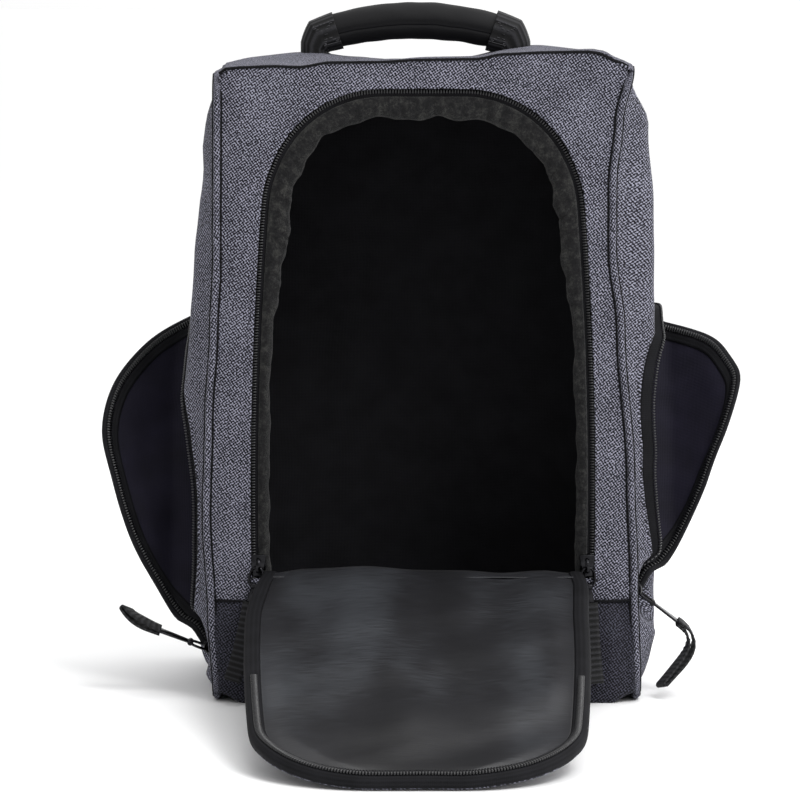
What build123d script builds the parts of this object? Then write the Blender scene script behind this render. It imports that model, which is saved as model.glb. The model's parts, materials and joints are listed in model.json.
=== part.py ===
from build123d import *
from math import atan2, cos, degrees, radians, sin, tan
import os

os.makedirs("parts", exist_ok=True)

# ---------------------------------------------------------------- driving sizes
body_width = 240.0
body_depth = 176.0
body_height = 365.0
wrap_radius = 8.0          # rounding of the fabric where front, top, back and base meet
fabric = 3.0               # quilted outer fabric
foam = 4.0
lining = 1.2
band_height = 59.0         # dark band along the foot of the front
wrap_inner_radius = 1.0
piping_width = 3.4         # fabric-covered cord round each side panel
pocket_gap = 6.0           # room inside a side pocket when it is shut

opening_foot = 71.0        # height of the fold that the door hangs from
opening_half_foot = 96.0   # half width of the main zipper's line at the fold
opening_half_head = 86.7   # half width that its sides lean in to at the head
opening_head = 349.0       # height of the main zipper's line
opening_corner = 66.0

teeth_width = 2.4
teeth_depth = 2.0
teeth_gap = 1.7            # room between the two rows of teeth, for the slider's post
tape_width = 5.7
binding_width = 6.0
running_gap = 0.3          # least room between pieces that move past each other

door_outer_fabric = 1.4
door_foam_depth = 3.4
door_lining_depth = 1.2
door_angle = 104.8         # the open door's turn away from shut
panel_start = 0.8          # where a hinged cloth panel starts, past its fold's axis

lid_lean = 25.0            # a side pocket's fold leans back from upright
lid_angle = 65.0           # an open pocket lid's turn away from shut
lid_fabric = 1.6
lid_lining = 1.2

handle_pivot_above_top = 2.0
grip_height = 21.0
grip_depth = 26.0
grip_half_span = 52.0
grip_end_rise = 16.0       # middle of the grip above the top, at its ends
grip_rise = 23.3           # the same at its middle
grip_skin = 2.0
strap_width = 20.0
strap_thickness = 2.4
strap_half_span = 66.0
anchor_depth = 1.0

slider_width = 9.0
slider_length = 13.0
slider_plate = 1.4
slider_lip_reach = 0.5     # how far a slider's lips turn in behind its plate
link_width = 9.0
link_length = 12.0
link_wire = 1.4
knuckle_outer = 3.4
knuckle_bore = 2.2
pull_webbing_width = 10.0
pull_webbing_thickness = 2.4

half_width = body_width / 2
front_face = -body_depth / 2
back_face = body_depth / 2
wrap_half = half_width - fabric
side_outer = half_width
side_inner = half_width - fabric
pocket_back_outer = side_inner - pocket_gap
pocket_back_inner = pocket_back_outer - lining
side_foam_inner = pocket_back_inner - foam
board_thickness = 3.0
lining_base = fabric + board_thickness
lining_head = body_height - fabric - foam
lining_back = back_face - fabric - foam
lining_front = front_face + fabric

door_depth = door_outer_fabric + door_foam_depth + door_lining_depth
tape_face = front_face + 0.4          # the bag-side tape sits just inside the front face
door_tape_back = tape_face - running_gap
door_back = front_face - running_gap
door_axis_y = door_back - door_depth
teeth_face = front_face - 1.4
door_body_inset = 7.4
door_strip_start = 19.0   # the door's zipper starts clear of the parked sliders


# ------------------------------------------------------------------- helpers
def block(x_range, y_range, z_range, mode=Mode.ADD):
    """Plain block between two values on each axis, in the part being built."""
    with Locations((sum(x_range) / 2, sum(y_range) / 2, sum(z_range) / 2)):
        Box(x_range[1] - x_range[0], y_range[1] - y_range[0], z_range[1] - z_range[0], mode=mode)


def arch(grow, foot, y_range, mode=Mode.ADD):
    """The door's arched outline, grown outwards from the main zipper's line, between two depths."""
    lean_in = (opening_half_foot - opening_half_head) / (opening_head - opening_foot)
    low = opening_half_foot + grow + lean_in * (opening_foot - foot)
    high = opening_half_head + grow - lean_in * grow
    with BuildSketch(Plane.XZ.offset(-y_range[0])) as outline:
        with BuildLine():
            Polyline((-low, foot), (-high, opening_head + grow), (high, opening_head + grow),
                     (low, foot), close=True)
        make_face()
        heads = outline.vertices().sort_by(Axis.Y)[-2:]
        fillet(heads, opening_corner + grow)
    extrude(outline.sketch, amount=-(y_range[1] - y_range[0]), mode=mode)


def arch_band(outer, inner, foot, y_range):
    """A band that follows the zipper's arch, open at the foot."""
    arch(outer, foot, y_range)
    arch(inner, foot - 20.0, (y_range[0] - 1, y_range[1] + 1), mode=Mode.SUBTRACT)


def side_outline(inset):
    """A side panel's rounded outline, set in from the bag's outside."""
    with Locations((0, body_height / 2)):
        RectangleRounded(body_depth - 2 * inset, body_height - 2 * inset, max(wrap_radius - inset, 1.0))


def wrap_channel(keep_low, keep_high):
    """The length of wrapped fabric that goes round the bag between two heights."""
    with BuildPart() as channel:
        with BuildSketch(Plane.YZ):
            side_outline(0)
            with Locations((0, body_height / 2)):
                RectangleRounded(body_depth - 2 * fabric, body_height - 2 * fabric, wrap_inner_radius,
                                 mode=Mode.SUBTRACT)
        extrude(amount=wrap_half, both=True)
        block((-body_width, body_width), (-body_depth, body_depth), (keep_low, keep_high),
              mode=Mode.INTERSECT)
    return channel


# ------------------------------------------------------------- main enclosure
with BuildPart() as front_panel:
    block((-wrap_half, wrap_half), (front_face, lining_front), (band_height, body_height - wrap_radius))
    arch(teeth_width / 2 + 0.1, opening_foot, (front_face - 1, lining_front + 1), mode=Mode.SUBTRACT)

with BuildPart() as front_base_band:
    block((-wrap_half, wrap_half), (front_face, lining_front), (wrap_radius, band_height))

with BuildPart() as back_panel:
    block((-wrap_half, wrap_half), (back_face - fabric, back_face), (wrap_radius, body_height - wrap_radius))

top_panel = wrap_channel(body_height - wrap_radius, body_height + 1)
base_panel = wrap_channel(-1, wrap_radius)

foam_edge = 5.0
with BuildPart() as back_foam:
    block((-side_foam_inner, side_foam_inner), (lining_back, lining_back + foam),
          (foam_edge + fabric, lining_head))

with BuildPart() as top_foam:
    block((-side_foam_inner, side_foam_inner), (front_face + foam_edge + fabric, lining_back),
          (lining_head, lining_head + foam))

with BuildPart() as left_side_foam:
    block((-pocket_back_inner, -side_foam_inner), (lining_front, lining_back), (lining_base, lining_head))

with BuildPart() as right_side_foam:
    block((side_foam_inner, pocket_back_inner), (lining_front, lining_back), (lining_base, lining_head))

with BuildPart() as base_board:
    block((-side_foam_inner, side_foam_inner), (front_face + foam_edge, back_face - foam_edge),
          (fabric, lining_base))

with BuildPart() as main_lining:
    block((-side_foam_inner, side_foam_inner), (lining_front, lining_back), (lining_base, lining_head))
    block((lining - side_foam_inner, side_foam_inner - lining),
          (lining_front + lining, lining_back - lining),
          (lining_base + lining, lining_head - lining), mode=Mode.SUBTRACT)
    arch(-teeth_width / 2 - tape_width, opening_foot, (lining_front - 1, lining_front + 3),
         mode=Mode.SUBTRACT)

# --------------------------------------------------------- main zipper, bag side
half_teeth = teeth_width / 2
zipper_foot = opening_foot + 2.0
with BuildPart() as opening_teeth:
    arch_band(half_teeth, -half_teeth, zipper_foot, (teeth_face, teeth_face + teeth_depth))

with BuildPart() as opening_tape:
    arch_band(-half_teeth, -half_teeth - tape_width, zipper_foot, (tape_face, tape_face + 0.8))

binding_start = half_teeth + tape_width + 0.1
with BuildPart() as opening_binding:
    arch_band(-binding_start, -binding_start - binding_width, zipper_foot, (tape_face, tape_face + 2.2))

stop_height = 1.6
with BuildPart() as zipper_end_stops:
    for side in (-1, 1):
        with Locations((side * opening_half_foot, teeth_face + teeth_depth / 2,
                        opening_foot + stop_height / 2)):
            Box(teeth_width - 0.4, teeth_depth, stop_height)

welt_half = opening_half_foot - door_body_inset
welt_thickness = 1.6
with BuildPart() as door_fold_welt:
    block((-welt_half, welt_half), (door_axis_y + running_gap, front_face),
          (opening_foot - 0.5 - welt_thickness, opening_foot - 0.5))

# ----------------------------------------------------------------------- door
# Each layer is drawn with the door shut, then turned about its fold to lie open in front.
door_foot = opening_foot + panel_start
strip_foot = opening_foot + door_strip_start
outer_back = door_axis_y + door_outer_fabric
foam_back = outer_back + door_foam_depth
edge_width = 3.0
door_body = -door_body_inset
door_teeth_outer = -teeth_gap - half_teeth
door_teeth_inner = door_teeth_outer - teeth_width

with BuildPart() as door_outer:
    arch(door_body, door_foot, (door_axis_y, outer_back))
with BuildPart() as door_foam:
    arch(door_body - edge_width, door_foot, (outer_back, foam_back))
with BuildPart() as door_lining:
    arch(door_body - edge_width, door_foot, (foam_back, door_back))
with BuildPart() as door_edge_band:
    arch_band(door_body, door_body - edge_width, door_foot, (outer_back, door_back - 0.5))
with BuildPart() as door_tape:
    arch_band(door_teeth_inner, door_body, strip_foot, (door_back - 0.5, door_tape_back))
with BuildPart() as door_teeth:
    arch_band(door_teeth_outer, door_teeth_inner, strip_foot, (teeth_face, door_tape_back))

door_axis = Axis((0, door_axis_y, opening_foot), (1, 0, 0))
for shut in (door_outer, door_foam, door_lining, door_edge_band, door_tape, door_teeth):
    shut.part = shut.part.rotate(door_axis, door_angle)

# --------------------------------------------------------------- side pockets
# Each lid is drawn in the plane of its side panel: "along" runs up the leaning fold
# from its foot, "reach" runs from the fold towards the zipper.
left_fold_foot = (-58.0, 18.0)
right_fold_foot = (-62.0, 50.0)
left_zip_line = [(0.0, 3.0), (66.0, 50.0), (110.0, 65.0), (140.8, 70.0), (170.0, 63.0),
                 (198.7, 42.0), (218.7, 15.0), (223.0, 3.0)]
right_zip_line = [(0.0, 2.0), (58.0, 41.0), (82.4, 52.6), (106.0, 63.3), (133.5, 70.0),
                  (151.0, 63.6), (166.8, 50.0), (181.5, 18.0), (186.0, 3.0)]
lean = radians(lid_lean)
fold_clearance = 2.2
lid_strip_reach = 12.0      # the lid's zipper starts clear of the parked slider
pocket_tape_width = 3.0
seam = 0.2                 # each tape stops this far short of the curved edges beside it
pocket_teeth_face = side_outer + 0.8
lid_inner = side_outer - lid_fabric - lid_lining
lid_middle = (side_outer + lid_inner) / 2


def on_side(foot, along, reach):
    """Point on a side panel's plane, as (y, z)."""
    return (foot[0] + along * sin(lean) - reach * cos(lean), foot[1] + along * cos(lean) + reach * sin(lean))


def lens(foot, zip_line, grow, fold_reach, side, inner, outer, mode=Mode.ADD):
    """The lid's shape as a slab, its zipper line moved out by grow and its fold edge at fold_reach."""
    count = len(zip_line)
    shifted = []
    turns = []
    for index in range(count):
        before = zip_line[max(index - 1, 0)]
        after = zip_line[min(index + 1, count - 1)]
        if index == 1:
            after = zip_line[1]
        turn = atan2(after[1] - before[1], after[0] - before[0])
        turns.append(turn)
        shifted.append((zip_line[index][0] - grow * sin(turn), zip_line[index][1] + grow * cos(turn)))
    low_along = shifted[0][0] - (shifted[0][1] - fold_reach) / tan(turns[0])
    high_along = shifted[-1][0] - (shifted[-1][1] - fold_reach) / tan(turns[-1])
    start = on_side(foot, low_along, fold_reach)
    end = on_side(foot, high_along, fold_reach)
    places = [on_side(foot, along, reach) for along, reach in shifted]
    straight = (places[1][0] - start[0], places[1][1] - start[1])
    closing = (end[0] - places[-2][0], end[1] - places[-2][1])
    with BuildSketch(Plane.YZ.offset(side * inner)) as outline:
        with BuildLine():
            Line(start, places[1])
            Spline(*places[1:-1], tangents=[straight, closing])
            Line(places[-2], end)
            Line(end, start)
        make_face()
    extrude(outline.sketch, amount=side * (outer - inner), mode=mode)


def lens_band(foot, zip_line, outer_grow, inner_grow, fold_reach, side, inner, outer):
    """A band along a pocket's zipper line, open along the fold."""
    lens(foot, zip_line, outer_grow, fold_reach, side, inner, outer)
    lens(foot, zip_line, inner_grow, fold_reach - 6.0, side, inner - 1, outer + 1, mode=Mode.SUBTRACT)


def trim_below(foot, reach, side, inner, outer):
    """Cut away what lies nearer a fold than reach."""
    far = body_height
    with BuildSketch(Plane.YZ.offset(side * (inner - 1))) as strip:
        with BuildLine():
            Polyline(on_side(foot, -far, -far), on_side(foot, far, -far), on_side(foot, far, reach),
                     on_side(foot, -far, reach), close=True)
        make_face()
    extrude(strip.sketch, amount=side * (outer - inner + 2), mode=Mode.SUBTRACT)


def side_panel(foot, zip_line, side):
    """Outer fabric of one side, cut out where its pocket opens."""
    with BuildPart() as panel:
        with BuildSketch(Plane.YZ.offset(side * side_inner)):
            side_outline(piping_width)
        extrude(amount=side * fabric)
        lens(foot, zip_line, half_teeth + pocket_tape_width, -fold_clearance, side,
             side_inner - 1, side_outer + 1, mode=Mode.SUBTRACT)
    return panel


def pocket_back(side):
    """The pocket's inner wall, between the pocket and the main compartment."""
    with BuildPart() as backing:
        with BuildSketch(Plane.YZ.offset(side * pocket_back_inner)):
            side_outline(fabric)
        extrude(amount=side * lining)
    return backing


def pocket_tape(foot, zip_line, side):
    """The bag's half of a pocket zipper's tape."""
    with BuildPart() as tape:
        lens_band(foot, zip_line, half_teeth + pocket_tape_width - seam, half_teeth + seam,
                  fold_clearance, side, side_outer - 1.6, side_outer - 0.6)
    return tape


def pocket_teeth(foot, zip_line, side):
    """The bag's half of a pocket zipper's teeth."""
    with BuildPart() as teeth:
        lens_band(foot, zip_line, half_teeth, -half_teeth, fold_clearance + 2.0, side,
                  pocket_teeth_face - teeth_depth, pocket_teeth_face)
    return teeth


def pocket_lid(foot, zip_line, side):
    """The moving pieces of one side pocket, opened out: fabric, lining, tape and teeth."""
    teeth_outer = -teeth_gap - half_teeth
    teeth_inner = teeth_outer - teeth_width
    body = teeth_inner - pocket_tape_width
    layer = lid_inner + lid_lining
    with BuildPart() as skin:
        lens(foot, zip_line, body, panel_start, side, layer, side_outer)
    with BuildPart() as inside:
        lens(foot, zip_line, body, panel_start, side, lid_inner, layer)
    with BuildPart() as tape:
        lens_band(foot, zip_line, teeth_inner - seam, body + seam, panel_start + 6.0, side,
                  lid_middle - 0.4, lid_middle + 0.4)
        trim_below(foot, lid_strip_reach, side, lid_middle - 0.4, lid_middle + 0.4)
    with BuildPart() as teeth:
        lens_band(foot, zip_line, teeth_outer, teeth_inner, panel_start + 6.0, side,
                  pocket_teeth_face - teeth_depth, pocket_teeth_face)
        trim_below(foot, lid_strip_reach, side, pocket_teeth_face - teeth_depth, pocket_teeth_face)
    fold = Axis((side * lid_middle, foot[0], foot[1]), (0, sin(lean), cos(lean)))
    for piece in (skin, inside, tape, teeth):
        piece.part = piece.part.rotate(fold, side * lid_angle)
    return skin, inside, tape, teeth


left_side_panel = side_panel(left_fold_foot, left_zip_line, -1)
right_side_panel = side_panel(right_fold_foot, right_zip_line, 1)
left_pocket_back = pocket_back(-1)
right_pocket_back = pocket_back(1)
left_pocket_tape = pocket_tape(left_fold_foot, left_zip_line, -1)
right_pocket_tape = pocket_tape(right_fold_foot, right_zip_line, 1)
left_pocket_teeth = pocket_teeth(left_fold_foot, left_zip_line, -1)
right_pocket_teeth = pocket_teeth(right_fold_foot, right_zip_line, 1)
left_lid = pocket_lid(left_fold_foot, left_zip_line, -1)
right_lid = pocket_lid(right_fold_foot, right_zip_line, 1)
left_lid_fabric, left_lid_lining, left_lid_tape, left_lid_teeth = left_lid
right_lid_fabric, right_lid_lining, right_lid_tape, right_lid_teeth = right_lid


# --------------------------------------------------------------------- piping
def piping_ring(side):
    """Round cord that follows a side panel's outline."""
    centre = piping_width / 2
    middle = side * (wrap_half + centre)
    with BuildPart() as ring:
        with BuildSketch(Plane.YZ.offset(middle), mode=Mode.PRIVATE) as outline:
            with Locations((0, body_height / 2)):
                RectangleRounded(body_depth - 2 * centre, body_height - 2 * centre, wrap_radius - centre)
        path = outline.sketch.face().outer_wire()
        with BuildSketch(Plane(origin=path @ 0, z_dir=path % 0)):
            Circle(centre - 0.05)
        sweep(path=path)
    return ring


left_piping = piping_ring(-1)
right_piping = piping_ring(1)

# --------------------------------------------------------------------- handle
grip_end = (grip_half_span, body_height + grip_end_rise)
grip_top = (0.0, body_height + grip_rise)
rise = grip_rise - grip_end_rise
arch_radius = (grip_half_span ** 2 + rise ** 2) / (2 * rise)
arch_centre = grip_top[1] - arch_radius
end_slope = (grip_half_span / (arch_radius ** 2 - grip_half_span ** 2) ** 0.5)


def along_arch(make_section):
    """Sweep a section along the grip's arch."""
    with BuildPart() as swept:
        with BuildLine(Plane.XZ) as arch:
            ThreePointArc((-grip_half_span, grip_end[1]), grip_top, grip_end)
        with BuildSketch(Plane(origin=arch.line @ 0, x_dir=(0, 1, 0), z_dir=arch.line % 0)):
            make_section()
        sweep(path=arch.line)
    return swept.part


def grip_outside():
    """The grip's full section."""
    Ellipse(grip_depth / 2, grip_height / 2)


def grip_core():
    """The foam core's section."""
    Ellipse(grip_depth / 2 - grip_skin, grip_height / 2 - grip_skin)


def strap_section():
    """The webbing's section."""
    Rectangle(strap_width, strap_thickness)


grip_whole = along_arch(grip_outside)
core_whole = along_arch(grip_core)
strap_middle = along_arch(strap_section)
leg_foot = body_height + handle_pivot_above_top + 4.2
leg_head = grip_end[1] - (strap_half_span - grip_half_span) * end_slope

with BuildPart() as handle_grip:
    add(grip_whole)
    add(core_whole, mode=Mode.SUBTRACT)

with BuildPart() as handle_core:
    add(core_whole)
    add(strap_middle, mode=Mode.SUBTRACT)

with BuildPart() as handle_strap:
    add(strap_middle)
    for side in (-1, 1):
        with BuildSketch(Plane.XZ):
            with BuildLine():
                Polyline((side * (grip_half_span - 0.3), grip_end[1] - strap_thickness / 2),
                         (side * (grip_half_span - 0.3), grip_end[1] + strap_thickness / 2),
                         (side * strap_half_span, leg_head + strap_thickness / 2),
                         (side * (strap_half_span + strap_thickness), leg_head - strap_thickness / 2),
                         (side * (strap_half_span + strap_thickness), leg_foot),
                         (side * strap_half_span, leg_foot),
                         (side * strap_half_span, leg_head - strap_thickness),
                         close=True)
            make_face()
        extrude(amount=strap_width / 2, both=True)

with BuildPart() as handle_anchors:
    for side in (-1, 1):
        with Locations((side * (strap_half_span + strap_thickness / 2), 0, body_height + anchor_depth / 2)):
            Box(18.0, strap_width + 6.0, anchor_depth)


# ------------------------------------------------------- sliders and their pulls
# Drawn upright about the zipper's line: the slider runs along Z, its face looks to -Y,
# and the fabric's face is at y = 0.
def slider_body():
    """Plate over both rows of teeth, with turned-in edges, a post between them and a bridge."""
    back = teeth_face - front_face - running_gap
    lip_width = 0.8
    bridge_width = 3.0
    with BuildPart() as slider:
        with Locations((0, back - slider_plate / 2, 0)):
            Box(slider_width, slider_plate, slider_length)
        fillet(slider.edges().filter_by(Axis.Y), 2.4)
        for side in (-1, 1):
            with Locations((side * (slider_width / 2 - lip_width / 2), back + slider_lip_reach / 2, 0)):
                Box(lip_width, slider_lip_reach, slider_length - 6.0)
        with Locations((0, back + 0.9, 0)):
            Box(teeth_gap - 2 * running_gap - 0.1, 1.8, 4.0)
        with Locations((0, back - slider_plate - 1.6, 0)):
            Box(bridge_width, 3.2, 9.0)
        with Locations((0, back - slider_plate - 1.1, 0)):
            Box(bridge_width + 1, 2.2, 5.0, mode=Mode.SUBTRACT)
    return slider.part


bar_y = teeth_face - front_face - running_gap - slider_plate - 1.1
bar_z = -1.2


def pull_link():
    """Oval ring that hangs from the slider's bridge."""
    with BuildPart() as link:
        with BuildSketch(Plane.XZ.offset(-bar_y)):
            with Locations((0, bar_z - (link_length - link_wire) / 2)):
                RectangleRounded(link_width, link_length, 3.0)
                RectangleRounded(link_width - 2 * link_wire, link_length - 2 * link_wire, 1.7,
                                 mode=Mode.SUBTRACT)
        extrude(amount=link_wire / 2, both=True)
    return link.part


knuckle_z = bar_z - (link_length - link_wire)
knuckle_length = link_width - 2 * link_wire - 1.6
tab_top = knuckle_z - knuckle_bore / 2 - 0.3


def pull_tab(tab_length, tab_width):
    """Flat metal tab with a knuckle round the ring's lower bar."""
    with BuildPart() as tab:
        with BuildSketch(Plane.YZ.offset(-knuckle_length / 2)):
            with Locations((bar_y, knuckle_z)):
                Circle(knuckle_outer / 2)
        extrude(amount=knuckle_length)
        with Locations((0, bar_y, tab_top - tab_length / 2)):
            Box(tab_width, 1.2, tab_length)
        with BuildSketch(Plane.YZ.offset(-knuckle_length)):
            with Locations((bar_y, knuckle_z)):
                Circle(knuckle_bore / 2)
        extrude(amount=2 * knuckle_length, mode=Mode.SUBTRACT)
    return tab.part


def webbing_strip(length):
    """Folded webbing that carries on from the tab, with its head at the origin."""
    with BuildPart() as strip:
        with Locations((0, 0, -length / 2)):
            Box(pull_webbing_width, pull_webbing_thickness, length)
        fillet(strip.edges().filter_by(Axis.X), 0.9)
    return strip.part


def swing(piece, tilt, lift):
    """Tilt a hanging piece sideways about the bridge, then lift it away from the bag."""
    bridge = (0, bar_y, bar_z)
    tilted = piece.rotate(Axis(bridge, (0, 1, 0)), tilt)
    across = (cos(radians(tilt)), 0, -sin(radians(tilt)))
    return tilted.rotate(Axis(bridge, across), -lift)


def zipper_pull(place, tab_length, webbing_length, tilt, lift):
    """A slider with its ring, tab and webbing, put at its place on the bag."""
    webbing = webbing_strip(webbing_length).moved(Location((0, bar_y, tab_top - tab_length)))
    hanging = (pull_link(), pull_tab(tab_length, 6.4), webbing)
    moved = [swing(piece, tilt, lift) for piece in hanging]
    return [piece.moved(place) for piece in [slider_body()] + moved]


gap_middle = half_teeth + teeth_gap / 2
slider_rest = zipper_foot + slider_length / 2
main_lean = (opening_half_foot - opening_half_head) / (opening_head - opening_foot)
main_x = opening_half_foot - gap_middle - main_lean * (slider_rest - opening_foot)
main_lean_angle = degrees(atan2(main_lean, 1))
main_tab = 9.0
main_webbing = 44.0
main_left_tilt = 9.0       # how far a hanging pull leans sideways
main_right_tilt = -1.0
main_left_lift = 0.0       # how far a pull stands away from hanging along its zipper
main_right_lift = 0.0
left_pocket_lift = 112.0
right_pocket_lift = 52.0
left_pocket_start = 9.0    # how far up its zipper a pocket's slider is parked
right_pocket_start = 11.0
left_main = zipper_pull(Location((-main_x, front_face, slider_rest), (0, main_lean_angle, 0)),
                        main_tab, main_webbing, main_left_tilt, main_left_lift)
right_main = zipper_pull(Location((main_x, front_face, slider_rest), (0, -main_lean_angle, 0)),
                         main_tab, main_webbing, main_right_tilt, main_right_lift)


def pocket_place(foot, zip_line, side, start):
    """Where a pocket's slider stands, on the straight first run of its zipper."""
    first, second = zip_line[0], zip_line[1]
    run = atan2(second[1] - first[1], second[0] - first[0])
    along = first[0] + start * cos(run) + gap_middle * sin(run)
    reach = first[1] + start * sin(run) - gap_middle * cos(run)
    y, z = on_side(foot, along, reach)
    ahead = on_side(foot, along + cos(run), reach + sin(run))
    rise_dir = (0, ahead[0] - y, ahead[1] - z)
    across = (0, side * rise_dir[2], -side * rise_dir[1])
    return Plane(origin=(side * side_outer, y, z), x_dir=across, z_dir=rise_dir).location


pocket_tab = 18.0
left_pocket_webbing_length = 30.0
right_pocket_webbing_length = 42.0
left_pocket = zipper_pull(pocket_place(left_fold_foot, left_zip_line, -1, left_pocket_start),
                          pocket_tab, left_pocket_webbing_length, 0.0, left_pocket_lift)
right_pocket = zipper_pull(pocket_place(right_fold_foot, right_zip_line, 1, right_pocket_start),
                           pocket_tab, right_pocket_webbing_length, 0.0, right_pocket_lift)

with BuildPart() as left_main_slider:
    add(left_main[0])
with BuildPart() as left_main_link:
    add(left_main[1])
with BuildPart() as left_main_tab:
    add(left_main[2])
with BuildPart() as left_main_webbing:
    add(left_main[3])
with BuildPart() as right_main_slider:
    add(right_main[0])
with BuildPart() as right_main_link:
    add(right_main[1])
with BuildPart() as right_main_tab:
    add(right_main[2])
with BuildPart() as right_main_webbing:
    add(right_main[3])
with BuildPart() as left_pocket_slider:
    add(left_pocket[0])
with BuildPart() as left_pocket_link:
    add(left_pocket[1])
with BuildPart() as left_pocket_tab:
    add(left_pocket[2])
with BuildPart() as left_pocket_webbing:
    add(left_pocket[3])
with BuildPart() as right_pocket_slider:
    add(right_pocket[0])
with BuildPart() as right_pocket_link:
    add(right_pocket[1])
with BuildPart() as right_pocket_tab:
    add(right_pocket[2])
with BuildPart() as right_pocket_webbing:
    add(right_pocket[3])

# --------------------------------------------------------------------- export
nodes = {
    "front_panel": front_panel, "front_base_band": front_base_band, "back_panel": back_panel,
    "top_panel": top_panel, "base_panel": base_panel,
    "left_side_panel": left_side_panel, "right_side_panel": right_side_panel,
    "back_foam": back_foam, "top_foam": top_foam,
    "left_side_foam": left_side_foam, "right_side_foam": right_side_foam,
    "base_board": base_board, "main_lining": main_lining,
    "opening_teeth": opening_teeth, "opening_tape": opening_tape, "opening_binding": opening_binding,
    "zipper_end_stops": zipper_end_stops, "door_fold_welt": door_fold_welt,
    "left_pocket_tape": left_pocket_tape, "left_pocket_teeth": left_pocket_teeth,
    "left_pocket_back": left_pocket_back, "right_pocket_tape": right_pocket_tape,
    "right_pocket_teeth": right_pocket_teeth, "right_pocket_back": right_pocket_back,
    "left_piping": left_piping, "right_piping": right_piping, "handle_anchors": handle_anchors,
    "door_outer": door_outer, "door_foam": door_foam, "door_lining": door_lining,
    "door_edge_band": door_edge_band, "door_tape": door_tape, "door_teeth": door_teeth,
    "left_lid_fabric": left_lid_fabric, "left_lid_lining": left_lid_lining,
    "left_lid_tape": left_lid_tape, "left_lid_teeth": left_lid_teeth,
    "right_lid_fabric": right_lid_fabric, "right_lid_lining": right_lid_lining,
    "right_lid_tape": right_lid_tape, "right_lid_teeth": right_lid_teeth,
    "handle_grip": handle_grip, "handle_core": handle_core, "handle_strap": handle_strap,
    "left_main_slider": left_main_slider, "left_main_link": left_main_link,
    "left_main_tab": left_main_tab, "left_main_webbing": left_main_webbing,
    "right_main_slider": right_main_slider, "right_main_link": right_main_link,
    "right_main_tab": right_main_tab, "right_main_webbing": right_main_webbing,
    "left_pocket_slider": left_pocket_slider, "left_pocket_link": left_pocket_link,
    "left_pocket_tab": left_pocket_tab, "left_pocket_webbing": left_pocket_webbing,
    "right_pocket_slider": right_pocket_slider, "right_pocket_link": right_pocket_link,
    "right_pocket_tab": right_pocket_tab, "right_pocket_webbing": right_pocket_webbing,
}
for name, node in nodes.items():
    node.part.label = name
    export_step(node.part, f"parts/{name}.step")
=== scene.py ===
# %% [markdown]
# # A soft shoe bag with its door lying open
# The bag is cut and sewn cloth: panels of heather twill round a padded box, corded
# seams, coil zippers, a satin-lined door and a padded grip. The moving CAD frame gives every
# place and size, and this script dresses it. Cloth is made from grids that are laid over
# the frame by a formula, because a grid keeps its weave straight and can carry creases.
# Small hard pieces are built with the ordinary modelling operators.

import math

import bmesh
import bpy
from mathutils import Matrix, Vector, noise
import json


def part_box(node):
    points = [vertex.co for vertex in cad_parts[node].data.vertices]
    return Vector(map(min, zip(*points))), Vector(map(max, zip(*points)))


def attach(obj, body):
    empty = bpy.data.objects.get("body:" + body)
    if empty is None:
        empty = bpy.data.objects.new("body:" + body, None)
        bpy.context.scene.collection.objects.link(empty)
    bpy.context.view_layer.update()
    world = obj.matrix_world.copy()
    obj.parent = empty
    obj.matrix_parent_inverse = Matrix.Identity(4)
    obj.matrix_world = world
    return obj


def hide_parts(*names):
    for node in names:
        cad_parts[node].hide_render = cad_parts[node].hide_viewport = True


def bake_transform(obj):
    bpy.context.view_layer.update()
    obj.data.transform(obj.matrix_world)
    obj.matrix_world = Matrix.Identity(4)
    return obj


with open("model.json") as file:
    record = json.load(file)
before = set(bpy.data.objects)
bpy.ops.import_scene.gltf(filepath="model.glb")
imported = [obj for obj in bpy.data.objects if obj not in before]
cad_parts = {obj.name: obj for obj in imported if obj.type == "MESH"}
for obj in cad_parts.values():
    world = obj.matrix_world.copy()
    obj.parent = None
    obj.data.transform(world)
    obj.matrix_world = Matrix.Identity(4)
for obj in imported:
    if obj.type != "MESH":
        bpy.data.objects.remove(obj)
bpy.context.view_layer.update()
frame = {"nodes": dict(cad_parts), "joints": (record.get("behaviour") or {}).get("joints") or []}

# %% [markdown]
# ## Working sizes
# Everything below is thought out in millimetres and turned to metres once, when a mesh is
# made. The main sizes are read from the CAD nodes, so the cloth always fits its frame.

# %% Sizes from the frame
MM = 0.001


def span(node, axis):
    """Lowest and highest value of a CAD node along one axis, in millimetres."""
    low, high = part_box(node)
    return low[axis] / MM, high[axis] / MM


front_y = span("front_panel", 1)[0]
back_y = span("back_panel", 1)[1]
top_z = span("top_panel", 2)[1]
band_z = span("front_base_band", 2)[1]
opening_foot = 71.0
opening_half_foot = 96.0
opening_half_head = 86.7
opening_head = 349.0
opening_corner = 66.0
door_joint = next(j for j in frame["joints"] if j["name"] == "door_fold")
door_axis_y = door_joint["pos_m"][1] / MM
door_slope = math.radians(door_joint["range_deg"][1] - 90.0)
print("front", front_y, "top", top_z, "fold", door_axis_y)

# %% [markdown]
# ## Finishes
# Each finish is a small node tree. Colours are written as they look on a screen (sRGB hex)
# and turned to linear light by one function. One other function adds a node with its
# settings and links, so that a tree reads as a short list.


# %% Colour and node helpers
def linear(hex_colour, alpha=1.0):
    """An sRGB hex colour as linear red, green, blue and alpha."""
    parts = [int(hex_colour[i:i + 2], 16) / 255 for i in (1, 3, 5)]
    return [p / 12.92 if p <= 0.04045 else ((p + 0.055) / 1.055) ** 2.4 for p in parts] + [alpha]


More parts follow.
